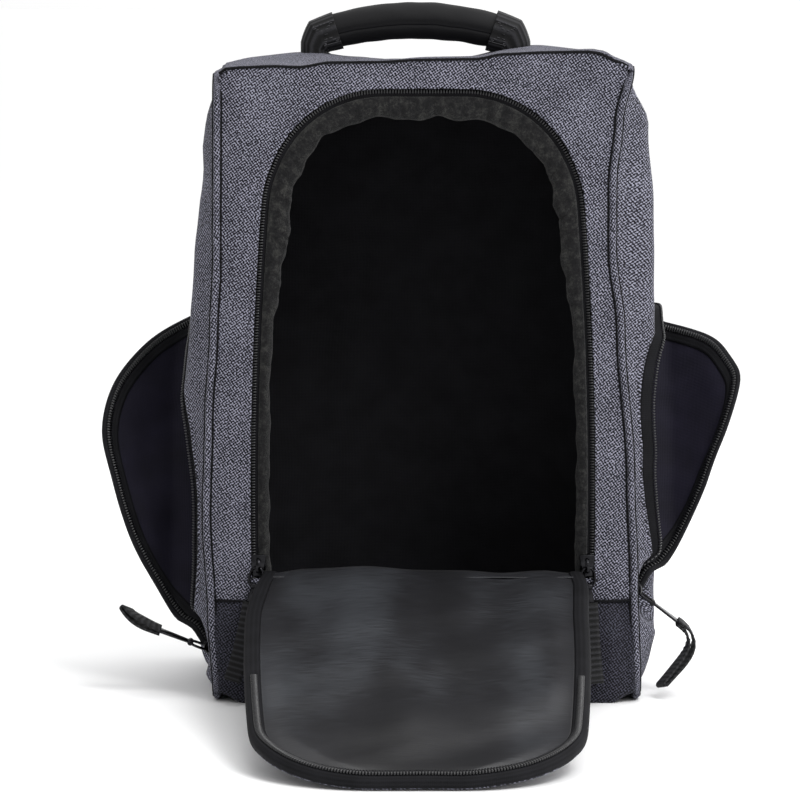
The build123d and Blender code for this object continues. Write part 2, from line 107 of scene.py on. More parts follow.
def add(tree, kind, values=None, links=None, **settings):
    """A node with its settings, socket values and incoming links."""
    node = tree.nodes.new(kind)
    for key, value in settings.items():
        setattr(node, key, value)
    for socket, value in (values or {}).items():
        node.inputs[socket].default_value = value
    for socket, source in (links or {}).items():
        tree.links.new(source, node.inputs[socket])
    return node


def ramp(tree, factor, stops):
    """A colour ramp from (position, hex colour) pairs."""
    node = add(tree, "ShaderNodeValToRGB", links={"Fac": factor})
    elements = node.color_ramp.elements
    while len(elements) < len(stops):
        elements.new(0.5)
    for element, (position, colour) in zip(elements, stops):
        element.position = position
        element.color = linear(colour)
    return node


def new_finish(name, **sockets):
    """An empty material with one Principled shader, its constants set on its own sockets."""
    material = bpy.data.materials.new(name)
    material.use_nodes = True
    tree = material.node_tree
    tree.nodes.clear()
    shader = add(tree, "ShaderNodeBsdfPrincipled")
    add(tree, "ShaderNodeOutputMaterial", links={"Surface": shader.outputs["BSDF"]})
    for socket, value in sockets.items():
        shader.inputs[socket.replace("_", " ")].default_value = value
    return material, tree, shader


def link(tree, source, shader, socket):
    """Join an output to one of the shader's sockets."""
    tree.links.new(source, shader.inputs[socket])


# %% [markdown]
# ## Heather twill
# The outer cloth is polyester twill woven from melange yarn: each thread is spun from light
# and dark fibres, so the cloth is flecked along its threads. Two crossing waves draw the ribs
# of the twill, fine noise breaks them into flecks, and slower noise gives the cloudy shade.
# The real ribs are about 1 mm apart, and they are drawn 1.4 mm apart so that they still show
# from where the bag is seen. Waves are used rather than more noise, because a weave is regular.


# %% Heather twill
def heather_twill(name, dark, middle, light, fleck_mm=1.0):
    material, tree, shader = new_finish(name, Roughness=0.92, Sheen_Weight=0.04, Sheen_Roughness=0.5)
    shader.inputs["Specular IOR Level"].default_value = 0.15
    cloth = add(tree, "ShaderNodeTexCoord").outputs["UV"]
    fibres = add(tree, "ShaderNodeTexNoise", {"Scale": 1000 / fleck_mm, "Detail": 2.0, "Roughness": 0.6},
                 {"Vector": cloth})
    diagonals = []
    for degrees, pitch_mm in ((56, 1.35), (-34, 1.5)):
        lay = add(tree, "ShaderNodeMapping", {"Rotation": (0, 0, math.radians(degrees))},
                  {"Vector": cloth})
        diagonals.append(add(tree, "ShaderNodeTexWave", {"Scale": wave_period / pitch_mm, "Distortion": 1.4,
                                                         "Detail": 1.0, "Detail Scale": 2.0},
                             {"Vector": lay.outputs["Vector"]}))
    twill = add(tree, "ShaderNodeMix", {"Factor": 0.5}, {"A": diagonals[0].outputs["Fac"],
                                                         "B": diagonals[1].outputs["Fac"]})
    both = add(tree, "ShaderNodeMix", {"Factor": 0.3}, {"A": fibres.outputs["Fac"],
                                                        "B": twill.outputs["Result"]})
    clouds = add(tree, "ShaderNodeTexNoise", {"Scale": 1000 / 26, "Detail": 3.0}, {"Vector": cloth})
    shade = add(tree, "ShaderNodeMix", {"Factor": 0.08}, {"A": both.outputs["Result"],
                                                          "B": clouds.outputs["Fac"]})
    colour = ramp(tree, shade.outputs["Result"],
                  [(0.42, dark), (0.49, middle), (0.51, middle), (0.59, light)])
    link(tree, colour.outputs["Color"], shader, "Base Color")
    bump = add(tree, "ShaderNodeBump", {"Strength": 0.4, "Distance": 0.3 * MM},
               {"Height": twill.outputs["Result"]})
    link(tree, bump.outputs["Normal"], shader, "Normal")
    return material


wave_period = 1000 * 6.2832 / 20  # a wave texture of scale 1 repeats every 6.2832 / 20 m
heather = heather_twill("heather twill", "#060609", "#2c2c34", "#868694")
# The foot band and base take the same heather darkened: painted shade, for cloth turned down away from the
# light.
heather_in_painted_shade = heather_twill("heather twill in painted shade", "#08080b", "#1c1c22", "#3f3f4a")
print("heather twill made")


# %% [markdown]
# ## Linings, tapes and binding
# The main compartment is lined with plain black cloth. The door is lined with charcoal
# satin, whose long floats give it a soft directional sheen, part of it painted into the colour
# as broad lighter bands. Zipper tape is a tight black weave, and the raw edges are bound with
# a brushed, slightly furry grey strip.


# %% Linings, tapes and binding
def woven(name, colour, other, thread_mm, roughness, sheen=0.0, strength=0.35):
    """A plain weave seen close: two crossing waves, with a little cloudiness."""
    material, tree, shader = new_finish(name, Roughness=roughness, Sheen_Weight=sheen)
    shader.inputs["Specular IOR Level"].default_value = 0.12
    cloth = add(tree, "ShaderNodeTexCoord").outputs["UV"]
    scale = 1000 / thread_mm / 6.2832 * 2
    warp = add(tree, "ShaderNodeTexWave", {"Scale": scale, "Distortion": 0.6}, {"Vector": cloth},
               bands_direction="X")
    weft = add(tree, "ShaderNodeTexWave", {"Scale": scale, "Distortion": 0.6}, {"Vector": cloth},
               bands_direction="Y")
    weave = add(tree, "ShaderNodeMix", {"Factor": 0.5}, {"A": warp.outputs["Fac"],
                                                         "B": weft.outputs["Fac"]})
    clouds = add(tree, "ShaderNodeTexNoise", {"Scale": 1000 / 18, "Detail": 3.0}, {"Vector": cloth})
    mix = add(tree, "ShaderNodeMix", {"Factor": 0.6}, {"A": weave.outputs["Result"],
                                                       "B": clouds.outputs["Fac"]})
    tone = ramp(tree, mix.outputs["Result"], [(0.3, colour), (0.7, other)])
    link(tree, tone.outputs["Color"], shader, "Base Color")
    bump = add(tree, "ShaderNodeBump", {"Strength": strength, "Distance": 0.25 * MM},
               {"Height": weave.outputs["Result"]})
    link(tree, bump.outputs["Normal"], shader, "Normal")
    return material


def brushed_binding():
    """Short raised fibres that lie in all directions: fine noise in colour and bump."""
    material, tree, shader = new_finish("brushed binding", Roughness=1.0, Sheen_Weight=0.08,
                                        Sheen_Roughness=0.6)
    shader.inputs["Specular IOR Level"].default_value = 0.1
    cloth = add(tree, "ShaderNodeTexCoord").outputs["Object"]
    fibres = add(tree, "ShaderNodeTexNoise", {"Scale": 1000 / 1.1, "Detail": 4.0, "Roughness": 0.75},
                 {"Vector": cloth})
    tufts = add(tree, "ShaderNodeTexNoise", {"Scale": 1000 / 5.0, "Detail": 2.0}, {"Vector": cloth})
    mix = add(tree, "ShaderNodeMix", {"Factor": 0.45}, {"A": fibres.outputs["Fac"],
                                                        "B": tufts.outputs["Fac"]})
    tone = ramp(tree, mix.outputs["Result"], [(0.36, "#050506"), (0.5, "#141415"), (0.64, "#30302e")])
    link(tree, tone.outputs["Color"], shader, "Base Color")
    bump = add(tree, "ShaderNodeBump", {"Strength": 0.9, "Distance": 0.8 * MM},
               {"Height": fibres.outputs["Fac"]})
    link(tree, bump.outputs["Normal"], shader, "Normal")
    return material


black_lining = woven("black polyester lining", "#111113", "#1d1d20", 0.9, 0.85)
navy_lining = woven("dark navy pocket lining", "#0d0c14", "#1b1926", 0.9, 0.7)
zipper_tape = woven("woven zipper tape", "#0b0b0d", "#19191c", 1.1, 0.8)
binding = brushed_binding()


# %% [markdown]
# ## Satin door lining
# Satin floats its threads over the surface, so light slides along them. A little
# anisotropy-like streaking is enough here: faint lines across the cloth in the bump, and a
# roughness that lets broad soft highlights show on the folds. Broad lighter bands from slow,
# stretched noise are painted sheen laid into the charcoal colour.


# %% Satin door lining
def satin_lining_with_painted_sheen():
    material, tree, shader = new_finish("charcoal satin lining with painted sheen", Roughness=0.40, Sheen_Weight=0.02)
    shader.inputs["Specular IOR Level"].default_value = 0.32
    cloth = add(tree, "ShaderNodeTexCoord").outputs["UV"]
    floats = add(tree, "ShaderNodeMapping", {"Scale": (1000 / 14, 1000 / 0.9, 1000),
                                             "Rotation": (0, 0, math.radians(3))}, {"Vector": cloth})
    lines = add(tree, "ShaderNodeTexNoise", {"Scale": 1.0, "Detail": 2.0},
                {"Vector": floats.outputs["Vector"]})
    # Slow noise stretched along a diagonal paints broad lighter bands into the colour: painted sheen.
    broad = add(tree, "ShaderNodeMapping", {"Scale": (1000 / 70, 1000 / 190, 1),
                                            "Rotation": (0, 0, math.radians(28))}, {"Vector": cloth})
    clouds = add(tree, "ShaderNodeTexNoise", {"Scale": 1.0, "Detail": 2.0},
                 {"Vector": broad.outputs["Vector"]})
    mix = add(tree, "ShaderNodeMix", {"Factor": 0.72}, {"A": lines.outputs["Fac"],
                                                        "B": clouds.outputs["Fac"]})
    # The ramp's light end is the painted sheen of the broad bands; its dark end is the satin's charcoal.
    tone = ramp(tree, mix.outputs["Result"], [(0.36, "#0e0e10"), (0.5, "#1a1a1d"), (0.64, "#34363a")])
    link(tree, tone.outputs["Color"], shader, "Base Color")
    bump = add(tree, "ShaderNodeBump", {"Strength": 0.25, "Distance": 0.3 * MM},
               {"Height": lines.outputs["Fac"]})
    link(tree, bump.outputs["Normal"], shader, "Normal")
    return material


satin = satin_lining_with_painted_sheen()


# %% [markdown]
# ## Webbing, grip cover, nylon coil, thread and metal
# The pulls and handle ends are nylon webbing with ribs across it about 1.6 mm apart. The
# grip's cover is smooth padded cloth, nearly plain. Zipper coils are extruded nylon, shiny
# and black. The pulls' metal is plated zinc, cast and tumbled, so its shine is soft.


# %% Webbing, grip cover, coil, thread and metal
def ribbed_webbing():
    material, tree, shader = new_finish("ribbed nylon webbing", Roughness=0.62, Sheen_Weight=0.03)
    shader.inputs["Specular IOR Level"].default_value = 0.2
    cloth = add(tree, "ShaderNodeTexCoord").outputs["UV"]
    ribs = add(tree, "ShaderNodeTexWave", {"Scale": 1000 / 1.6 / 6.2832, "Distortion": 0.3},
               {"Vector": cloth}, bands_direction="Y")
    threads = add(tree, "ShaderNodeTexNoise", {"Scale": 1000 / 0.7, "Detail": 2.0}, {"Vector": cloth})
    mix = add(tree, "ShaderNodeMix", {"Factor": 0.35}, {"A": ribs.outputs["Fac"],
                                                        "B": threads.outputs["Fac"]})
    tone = ramp(tree, mix.outputs["Result"], [(0.2, "#060607"), (0.55, "#121214"), (0.9, "#2a2a2d")])
    link(tree, tone.outputs["Color"], shader, "Base Color")
    bump = add(tree, "ShaderNodeBump", {"Strength": 0.8, "Distance": 0.5 * MM},
               {"Height": mix.outputs["Result"]})
    link(tree, bump.outputs["Normal"], shader, "Normal")
    return material


def plain_grain(name, dark, light, grain_mm, roughness, metallic=0.0, strength=0.2, sheen=0.0):
    """A nearly plain surface with a fine grain in its colour, bump and roughness."""
    material, tree, shader = new_finish(name, Metallic=metallic, Sheen_Weight=sheen)
    shader.inputs["Specular IOR Level"].default_value = 0.5 if roughness < 0.4 else 0.16
    place = add(tree, "ShaderNodeTexCoord").outputs["Object"]
    grain = add(tree, "ShaderNodeTexNoise", {"Scale": 1000 / grain_mm, "Detail": 3.0}, {"Vector": place})
    tone = ramp(tree, grain.outputs["Fac"], [(0.3, dark), (0.7, light)])
    link(tree, tone.outputs["Color"], shader, "Base Color")
    rough = add(tree, "ShaderNodeMapRange", {"To Min": roughness - 0.05, "To Max": roughness + 0.08},
                {"Value": grain.outputs["Fac"]})
    link(tree, rough.outputs["Result"], shader, "Roughness")
    bump = add(tree, "ShaderNodeBump", {"Strength": strength, "Distance": 0.15 * MM},
               {"Height": grain.outputs["Fac"]})
    link(tree, bump.outputs["Normal"], shader, "Normal")
    return material


webbing = ribbed_webbing()
grip_cover = plain_grain("padded grip cloth", "#0c0c0d", "#151517", 0.8, 0.68, strength=0.3, sheen=0.02)
nylon_coil = plain_grain("black nylon coil", "#08080a", "#141417", 1.5, 0.28)
stitch_thread = plain_grain("polyester thread", "#2a2a2c", "#4a4a4d", 0.6, 0.6)
# Near-black lines where seams sink are painted shade, laid as thin cords.
painted_seam_shade = plain_grain("sunken seam thread", "#040406", "#0a0a0e", 0.6, 0.8)
plated = plain_grain("black nickel plate", "#1b1b1d", "#2a2a2c", 2.0, 0.2, metallic=1.0, strength=0.08)
print("finishes", len(bpy.data.materials))

# %% [markdown]
# ## Making cloth
# A piece of cloth starts as a grid. Each point of the grid is then placed by a formula of
# two numbers that run from 0 to 1 across and along it, and its UV map holds real metres,
# so every weave keeps its scale. A Solidify modifier gives the cloth its thickness.


# %% Cloth, tube and row helpers
def clear_selection():
    if bpy.context.object and bpy.context.object.mode != "OBJECT":
        bpy.ops.object.mode_set(mode="OBJECT")
    bpy.ops.object.select_all(action="DESELECT")


def pick(piece):
    """Selects one piece alone and makes it active, so that an operator acts on it."""
    clear_selection()
    piece.select_set(True)
    bpy.context.view_layer.objects.active = piece


def apply_modifiers(piece):
    pick(piece)
    for modifier in list(piece.modifiers):
        bpy.ops.object.modifier_apply(modifier=modifier.name)


def cloth(name, finish, across, along, place, lay, thickness=0.8, offset=-1.0, ring=False):
    """A sheet of across by along faces.

    place(u, v) gives each point in mm, and lay(u, v, point) its place on the flat cut in mm.
    """
    clear_selection()
    bpy.ops.mesh.primitive_grid_add(x_subdivisions=across, y_subdivisions=along, size=1)
    piece = bpy.context.active_object
    piece.name = name
    mesh = piece.data
    grid = [(vertex.co.x + 0.5, vertex.co.y + 0.5) for vertex in mesh.vertices]
    spots = [Vector(place(u, v)) for u, v in grid]
    for vertex, spot in zip(mesh.vertices, spots):
        vertex.co = spot * MM
    layer = mesh.uv_layers.active.data
    for loop in mesh.loops:
        u, v = grid[loop.vertex_index]
        flat = lay(u, v, spots[loop.vertex_index])
        layer[loop.index].uv = (flat[0] * MM, flat[1] * MM)
    if ring:
        weld = piece.modifiers.new("close the ring", "WELD")
        weld.merge_threshold = 0.01 * MM
        apply_modifiers(piece)
    if thickness:
        wall = piece.modifiers.new("thickness", "SOLIDIFY")
        wall.thickness = thickness * MM
        wall.offset = offset
        wall.use_even_offset = False
        apply_modifiers(piece)
    mesh.materials.clear()
    mesh.materials.append(finish)
    pick(piece)
    bpy.ops.object.shade_smooth()
    return piece


def smooth_step(value):
    value = min(max(value, 0.0), 1.0)
    return value * value * (3 - 2 * value)


def profile(points, value):
    """Smooth curve through (value, size) points, flat beyond its ends."""
    if value <= points[0][0]:
        return points[0][1]
    for (low, a), (high, b) in zip(points, points[1:]):
        if value <= high:
            return a + (b - a) * smooth_step((value - low) / (high - low))
    return points[-1][1]


def between(stations, share, ease=float):
    """The numbers at a share of the way along evenly spaced stations, each a row of numbers."""
    at = share * (len(stations) - 1)
    index = min(int(at), len(stations) - 2)
    part = ease(at - index)
    return [a + (b - a) * part for a, b in zip(stations[index], stations[index + 1])]


def ripple(x, y, seed, size, depth):
    """Soft random height for creases, with a spot every size millimetres."""
    return depth * noise.noise(Vector((x / size, y / size, seed)))


# %% [markdown]
# ## Cords and rows
# A cord is a sheet rolled round a line of points, closed at its ends unless it is a loop.
# Teeth and stitches are one small mesh copied along a line.


# %% Cord and row helpers
def close_ends(piece, loop=False):
    """Fills a rolled sheet's two open ends, which a loop doesn't have, and turns its faces outwards."""
    pick(piece)
    bpy.ops.object.mode_set(mode="EDIT")
    if not loop:
        bpy.ops.mesh.select_mode(type="EDGE")
        bpy.ops.mesh.select_all(action="DESELECT")
        bpy.ops.mesh.select_non_manifold()
        bpy.ops.mesh.fill_holes(sides=0)
    bpy.ops.mesh.select_all(action="SELECT")
    bpy.ops.mesh.normals_make_consistent(inside=False)
    bpy.ops.object.mode_set(mode="OBJECT")


def tube(name, finish, path, radius, sides=10, closed=False, squeeze=None):
    """Round cord along a list of points in mm."""
    count = len(path)
    steps = count if closed else count - 1

    def place(u, v):
        at = v * steps
        index = min(int(round(at)), steps)
        point = Vector(path[index % count])
        ahead = Vector(path[(index + 1) % count if closed else min(index + 1, count - 1)])
        behind = Vector(path[(index - 1) % count if closed else max(index - 1, 0)])
        forward = (ahead - behind).normalized()
        side = forward.cross(Vector((0.3, 0.1, 0.95)) if abs(forward.z) < 0.7 else Vector((0, -1, 0.2)))
        side.normalize()
        up = side.cross(forward)
        turn = u * 2 * math.pi
        size = radius * (squeeze(index) if squeeze else 1.0)
        return point + (side * math.cos(turn) + up * math.sin(turn)) * size

    run = sum((Vector(b) - Vector(a)).length for a, b in zip(path, path[1:]))
    piece = cloth(name, finish, sides, steps, place,
                  lambda u, v, p: (u * 2 * math.pi * radius, v * run), thickness=0, ring=True)
    close_ends(piece, loop=closed)
    return piece


def walk(points, pitch, start=0.0):
    """Places at an even pitch along a line of points: (point, direction) in mm."""
    places = []
    target = start
    run = 0.0
    for a, b in zip(points, points[1:]):
        a, b = Vector(a), Vector(b)
        length = (b - a).length
        while length > 0 and target <= run + length:
            places.append((a.lerp(b, (target - run) / length), (b - a).normalized()))
            target += pitch
        run += length
    return places


def row_of(name, finish, pattern, places):
    """Copies of one small mesh, each put at its own matrix, as a single piece."""
    mesh = bpy.data.meshes.new(name)
    build = bmesh.new()
    for matrix in places:
        before = len(build.verts)
        build.from_mesh(pattern.data)
        build.verts.ensure_lookup_table()
        bmesh.ops.transform(build, matrix=matrix, verts=build.verts[before:])
    build.to_mesh(mesh)
    build.free()
    piece = bpy.data.objects.new(name, mesh)
    bpy.context.scene.collection.objects.link(piece)
    mesh.materials.clear()
    mesh.materials.append(finish)
    return piece


def turned(point, forward, outward, scale=1.0):
    """A matrix that puts a pattern's Y along forward and its Z along outward, at a point in mm."""
    forward = Vector(forward).normalized()
    outward = Vector(outward)
    outward = (outward - forward * outward.dot(forward)).normalized()
    side = forward.cross(outward)
    matrix = Matrix((side, forward, outward)).transposed().to_4x4()
    return Matrix.Translation(Vector(point) * MM) @ matrix @ Matrix.Scale(scale, 4)


# %% [markdown]
# ## The two small patterns: a coil tooth and a stitch
# A coil zipper's tooth is one turn of a nylon spiral, seen from the front as a short rounded
# bar across the tape. A stitch is a short sunken thread. Each is modelled once, as a
# bevelled bar of a few dozen faces, and copied along its line.


# %% Tooth and stitch patterns
def block(place, size):
    """A cube stretched to a size at a place, both in mm."""
    clear_selection()
    bpy.ops.mesh.primitive_cube_add(size=1, location=[p * MM for p in place], scale=[s * MM for s in size])
    bpy.ops.object.transform_apply(location=True, rotation=False, scale=True)
    return bpy.context.active_object


def bevel_edges(offset, segments):
    """Rounds every edge of the active piece, by an offset in mm."""
    bpy.ops.object.mode_set(mode="EDIT")
    bpy.ops.mesh.select_all(action="SELECT")
    bpy.ops.mesh.bevel(offset=offset * MM, segments=segments, affect="EDGES")
    bpy.ops.object.mode_set(mode="OBJECT")


def small_bar(name, width, length, height):
    bar = block((0, 0, 0), (width, length, height))
    bar.name = name
    bevel_edges(min(width, length, height) * 0.32, 1)
    bpy.ops.object.shade_smooth()
    return bar


tooth = small_bar("tooth pattern", 2.5, 0.95, 1.5)
stitch = small_bar("stitch pattern", 0.55, 2.3, 0.4)
print("patterns", len(tooth.data.polygons), len(stitch.data.polygons))

# %% [markdown]
# ## The bag's own outline
# Stuffed cloth never stays a true box. These short profiles say, by height, where the front
# corded seams run and how far the sides bulge, and, by place across the bag, how high the
# seam between front and top lies. Everything else follows them. All numbers are millimetres.

# %% Seam and bulge profiles
left_seam = [(8, 116.5), (51, 119.2), (106, 122.0), (162, 120.5), (214, 117.4), (249, 115.6),
             (357, 115.0)]
right_seam = [(8, 121.0), (68, 119.2), (129, 117.0), (214, 111.0), (259, 106.0), (298, 106.0),
              (332, 109.5), (363, 115.8)]
left_bulge = [(0, 121.0), (17, 128.0), (47, 132.0), (106, 134.5), (166, 135.4), (221, 133.0),
              (253, 130.0), (283, 127.6), (316, 125.0), (342, 122.4), (365, 117.0)]
right_bulge = [(0, 121.0), (17, 129.0), (47, 134.5), (106, 134.5), (166, 133.5), (221, 132.5), (283, 130.5),
               (342, 127.6), (365, 119.0)]
head_seam = [(-121, 355), (-115, 358.8), (-110.7, 361.6), (-103, 362.3), (-84, 363), (-70, 362.5),
             (-52, 365.1), (-27, 365.3), (2, 366.7), (29, 367), (46, 369.8), (69, 370.8), (94, 371.2),
             (100, 370), (108.5, 366.1), (113.6, 364.4), (116, 362.7), (121, 358)]
head_level = 362.0
seam_foot = 8.0
back_seam_x = 117.5


def seam_x(side, z):
    """Where the front corded seam runs at a height."""
    return side * profile(right_seam if side > 0 else left_seam, z)


def across_front(z, share):
    """X at a share of the way from the left corded seam to the right one, at a height."""
    return seam_x(-1, z) + (seam_x(1, z) - seam_x(-1, z)) * share


def bulge_x(side, z):
    """How far a side stands out at a height."""
    return side * profile(right_bulge if side > 0 else left_bulge, z)


def front_bow(x, z):
    """How far the front cloth stands off its flat frame, in mm, towards the viewer."""
    edge = min(abs(x - seam_x(-1, z)), abs(x - seam_x(1, z)))
    soft = smooth_step(edge / 14)
    creases = ripple(x, z, 3.1, 34, 1.6) + ripple(x, z * 0.45, 7.7, 15, 0.7)
    dent = 3.4 * math.exp(-((x - 97) / 7) ** 2 - ((z - 347) / 13) ** 2)
    return -2.2 * (1 - soft) + soft * (0.9 + creases - dent)


# %% [markdown]
# ## The arched opening
# The main zipper runs up both sides of the door, leaning in a little, round two large corners
# and across the head. The outline is worked out once as straight runs and arcs, and can be
# grown or shrunk, so cloth edge, teeth, tape and binding all follow it side by side.


# %% Arch outline
zipper_bow = 3.4
zipper_bow_height = 235.0


def arch_line(grow, foot, pitch=3.0):
    """Points (x, z) along the grown zipper line, from the left foot over to the right foot."""
    lean = (opening_half_foot - opening_half_head) / (opening_head - opening_foot)
    tilt = math.atan(lean)
    radius = opening_corner + grow
    head = opening_head + grow
    high = opening_half_head + grow - lean * grow
    shoulder = radius * math.tan((math.pi / 2 - tilt) / 2)
    low = opening_half_foot + grow + lean * (opening_foot - foot)
    centre = Vector((high - shoulder, head - radius))
    side_end = Vector((centre.x + radius * math.cos(tilt), centre.y + radius * math.sin(tilt)))
    right = [Vector((0.0, head)), Vector((centre.x, head))]
    arc_steps = 24
    for step in range(1, arc_steps + 1):
        turn = math.pi / 2 - (math.pi / 2 - tilt) * step / arc_steps
        right.append(centre + Vector((math.cos(turn), math.sin(turn))) * radius)
    right.append(Vector((low, foot)))
    right[-2] = side_end
    left = [Vector((-p.x, p.y)) for p in reversed(right)]
    line = left + right[1:]
    even = walk([(p.x, p.y, 0) for p in line], pitch)
    points = [(p.x, p.y) for p, _ in even]
    points.append((low, foot))
    slack = []
    for x, z in points:
        share = min(max((z - opening_foot) / zipper_bow_height, 0), 1)
        slack.append((x + math.copysign(zipper_bow * math.sin(math.pi * share) ** 0.8, x), z))
    return slack


def sampled(points, fraction):
    """The point at a share of the way along a list of 2-D points, by length."""
    lengths = [0.0]
    for a, b in zip(points, points[1:]):
        lengths.append(lengths[-1] + math.dist(a, b))
    target = fraction * lengths[-1]
    for index in range(len(points) - 1):
        if target <= lengths[index + 1] or index == len(points) - 2:
            part = (target - lengths[index]) / max(lengths[index + 1] - lengths[index], 1e-9)
            part = min(max(part, 0), 1)
            a, b = points[index], points[index + 1]
            return (a[0] + (b[0] - a[0]) * part, a[1] + (b[1] - a[1]) * part)


arch_edge = arch_line(1.4, opening_foot)
arch_run = sum(math.dist(a, b) for a, b in zip(arch_edge, arch_edge[1:]))
print("zipper line", round(arch_run), "mm")


# %% [markdown]
# ## Front cloth
# The front is one piece with the arch cut out of it. A grid bent round the arch keeps an
# even row of faces beside the zipper: its inner edge is the arch, its outer edge is the
# corded seams and the head seam. The weave's UV stays flat on the panel.


# %% Front cloth
def outer_front(fraction):
    """The front panel's own edge, from its left foot round the head to its right foot."""
    side_share, head_share = 0.395, 0.605
    if fraction < side_share:
        z = opening_foot + (head_level - opening_foot) * fraction / side_share
        return seam_x(-1, z), z
    if fraction > head_share:
        z = opening_foot + (head_level - opening_foot) * (1 - fraction) / (1 - head_share)
        return seam_x(1, z), z
    x = across_front(head_level, (fraction - side_share) / (head_share - side_share))
    return x, head_line(x)


def head_line(x):
    """Height of the seam between front and top: it sags between the handle's ends."""
    return profile(head_seam, x)


def front_place(u, v):
    inner = sampled(arch_edge, u)
    outer = outer_front(u)
    x = inner[0] + (outer[0] - inner[0]) * v
    z = inner[1] + (outer[1] - inner[1]) * v
    lift = 1.2 * (1 - smooth_step(v * 6))
    return x, front_y - front_bow(x, z) - lift, z


flat_xz = lambda u, v, p: (p.x, p.z)
flat_yz = lambda u, v, p: (p.y, p.z)
flat_xy = lambda u, v, p: (p.x, p.y)
front_cloth = cloth("front_cloth", heather, 260, 16, front_place, flat_xz, thickness=1.2, offset=0)
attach(front_cloth, "bag")


def foot_strip_place(u, v):
    z = band_z + (opening_foot + 1.0 - band_z) * v
    x = across_front(z, u)
    return x, front_y - front_bow(x, z) - 0.6 * math.sin(math.pi * v), z


foot_strip = cloth("front_foot_strip", heather, 120, 6, foot_strip_place, flat_xz, thickness=1.2, offset=0)
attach(foot_strip, "bag")


def band_place(u, v):
    turn = 12.0
    run = v * (band_z + turn)
    z = max(run - turn, 0.0)
    x = across_front(max(z, seam_foot), u)
    edge = min(abs(x - seam_x(-1, z)), abs(x - seam_x(1, z)))
    corner = 1 - smooth_step(edge / 16)
    z = z + corner * 6.0 * (1 - smooth_step(z / 22))
    tuck = 9 * (1 - smooth_step(run / 15)) ** 1.5
    bow = front_bow(x, z) + ripple(x, z, 21.0, 26, 1.6) + 2.4 * math.sin(math.pi * min(z / band_z, 1))
    return x, front_y - bow + tuck, max(z, 0.3)


# The band's darker heather is painted shade.
band_cloth = cloth("foot_band_cloth", heather_in_painted_shade, 120, 24, band_place, flat_xz, thickness=1.2, offset=0)
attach(band_cloth, "bag")
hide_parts("front_panel")
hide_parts("front_base_band")
print("front cloth", len(front_cloth.data.polygons))


# %% [markdown]
# ## Top, back and base
# The top sags a little between the handle's anchors and is pushed up where they pull. The
# back is stuffed cloth over foam, gently bowed. The base is stiff board under cloth.


# %% Top, back and base cloth
def top_place(u, v):
    y = front_y + (back_y - front_y) * v
    z_front = head_line(across_front(head_level, u))
    x = (-116.5 + 234.5 * u) + (1 - v) * 1.0
    rise = 3.6 * math.sin(math.pi * v) ** 0.6
    pull = 3.4 * math.exp(-((abs(x + 3) - 66) / 20) ** 2 - (y / 34) ** 2)
    sag = -3.2 * math.exp(-((x + 3) / 34) ** 2) * math.sin(math.pi * v)
    edge = smooth_step(min(v, 1 - v) * 12)
    z = z_front * (1 - v) + 363.0 * v + rise + (pull + sag + ripple(x, y, 11.0, 30, 1.6)) * edge
    side = smooth_step(min(u, 1 - u) * 14)
    return x, y, z - 2.4 * (1 - side)


top_cloth = cloth("top_cloth", heather, 90, 60, top_place, flat_xy, thickness=1.2, offset=-1)
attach(top_cloth, "bag")
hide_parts("top_panel")


def back_place(u, v):
    z = 3 + 359 * v
    x = -118 + 236 * u
    inside = 0 < u < 1 and 0 < v < 1
    bow = 3.6 * (math.sin(math.pi * u) * math.sin(math.pi * v)) ** 0.5 if inside else 0
    edge = smooth_step(min(u, 1 - u, v, 1 - v) * 9)
    creases = ripple(x, z, 31.0, 60, 2.4) + ripple(x * 0.6, z, 33.0, 24, 0.8)
    return -x, back_y - 1.2 + bow + edge * creases, z


back_cloth = cloth("back_cloth", heather, 80, 110, back_place, flat_xz, thickness=1.2, offset=-1)
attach(back_cloth, "bag")
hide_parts("back_panel")


def base_place(u, v):
    x = -117 + 234 * u
    y = back_y - 1 - (back_y - front_y - 10) * v
    edge = smooth_step(min(u, 1 - u, v, 1 - v) * 16)
    return x, y, 0.2 + 3.0 * (1 - edge)


# The base's darker heather is painted shade.
base_cloth = cloth("base_cloth", heather_in_painted_shade, 60, 50, base_place, flat_xy, thickness=1.0, offset=-1)
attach(base_cloth, "bag")
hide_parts("base_panel")
print("wrap cloth made")

# %% [markdown]
# ## Side panels with their pocket mouths
# Each side pocket opens along a curved zipper and folds out about a straight leaning line.
# In the plane of the side, "along" runs up that fold and "reach" runs from it towards the
# zipper. The side panel is a grid bent between the pocket's mouth and the corded edge.

# %% Pocket shapes
lean = math.radians(25.0)
lid_angle = math.radians(65.0)
lid_middle = 118.6
pockets = {
    -1: {"word": "left", "foot": (-58.0, 18.0), "wall": 2.0,
         "zip": [(0, 3), (66, 50), (110, 65), (140.8, 70), (170, 63), (198.7, 42), (218.7, 15), (223, 3)]},
    1: {"word": "right", "foot": (-62.0, 50.0), "wall": 6.5,
        "zip": [(0, 2), (58, 41), (82.4, 52.6), (106, 63.3), (133.5, 70), (151, 63.6), (166.8, 50),
                (181.5, 18), (186, 3)]},
}


def smooth_line(points, pitch=3.0):
    """A smooth curve through 2-D points, at an even pitch."""
    dense = []
    ends = [points[0]] + list(points) + [points[-1]]
    for four in zip(ends, ends[1:], ends[2:], ends[3:]):
        for step in range(8):
            t = step / 8
            dense.append(tuple(0.5 * (2 * q + (r - p) * t + (2 * p - 5 * q + 4 * r - s) * t * t
                                      + (3 * q - p - 3 * r + s) * t ** 3) for p, q, r, s in zip(*four)))
    dense.append(points[-1])
    even = [(p.x, p.y) for p, _ in walk([(x, y, 0) for x, y in dense], pitch)]
    return even + [points[-1]]


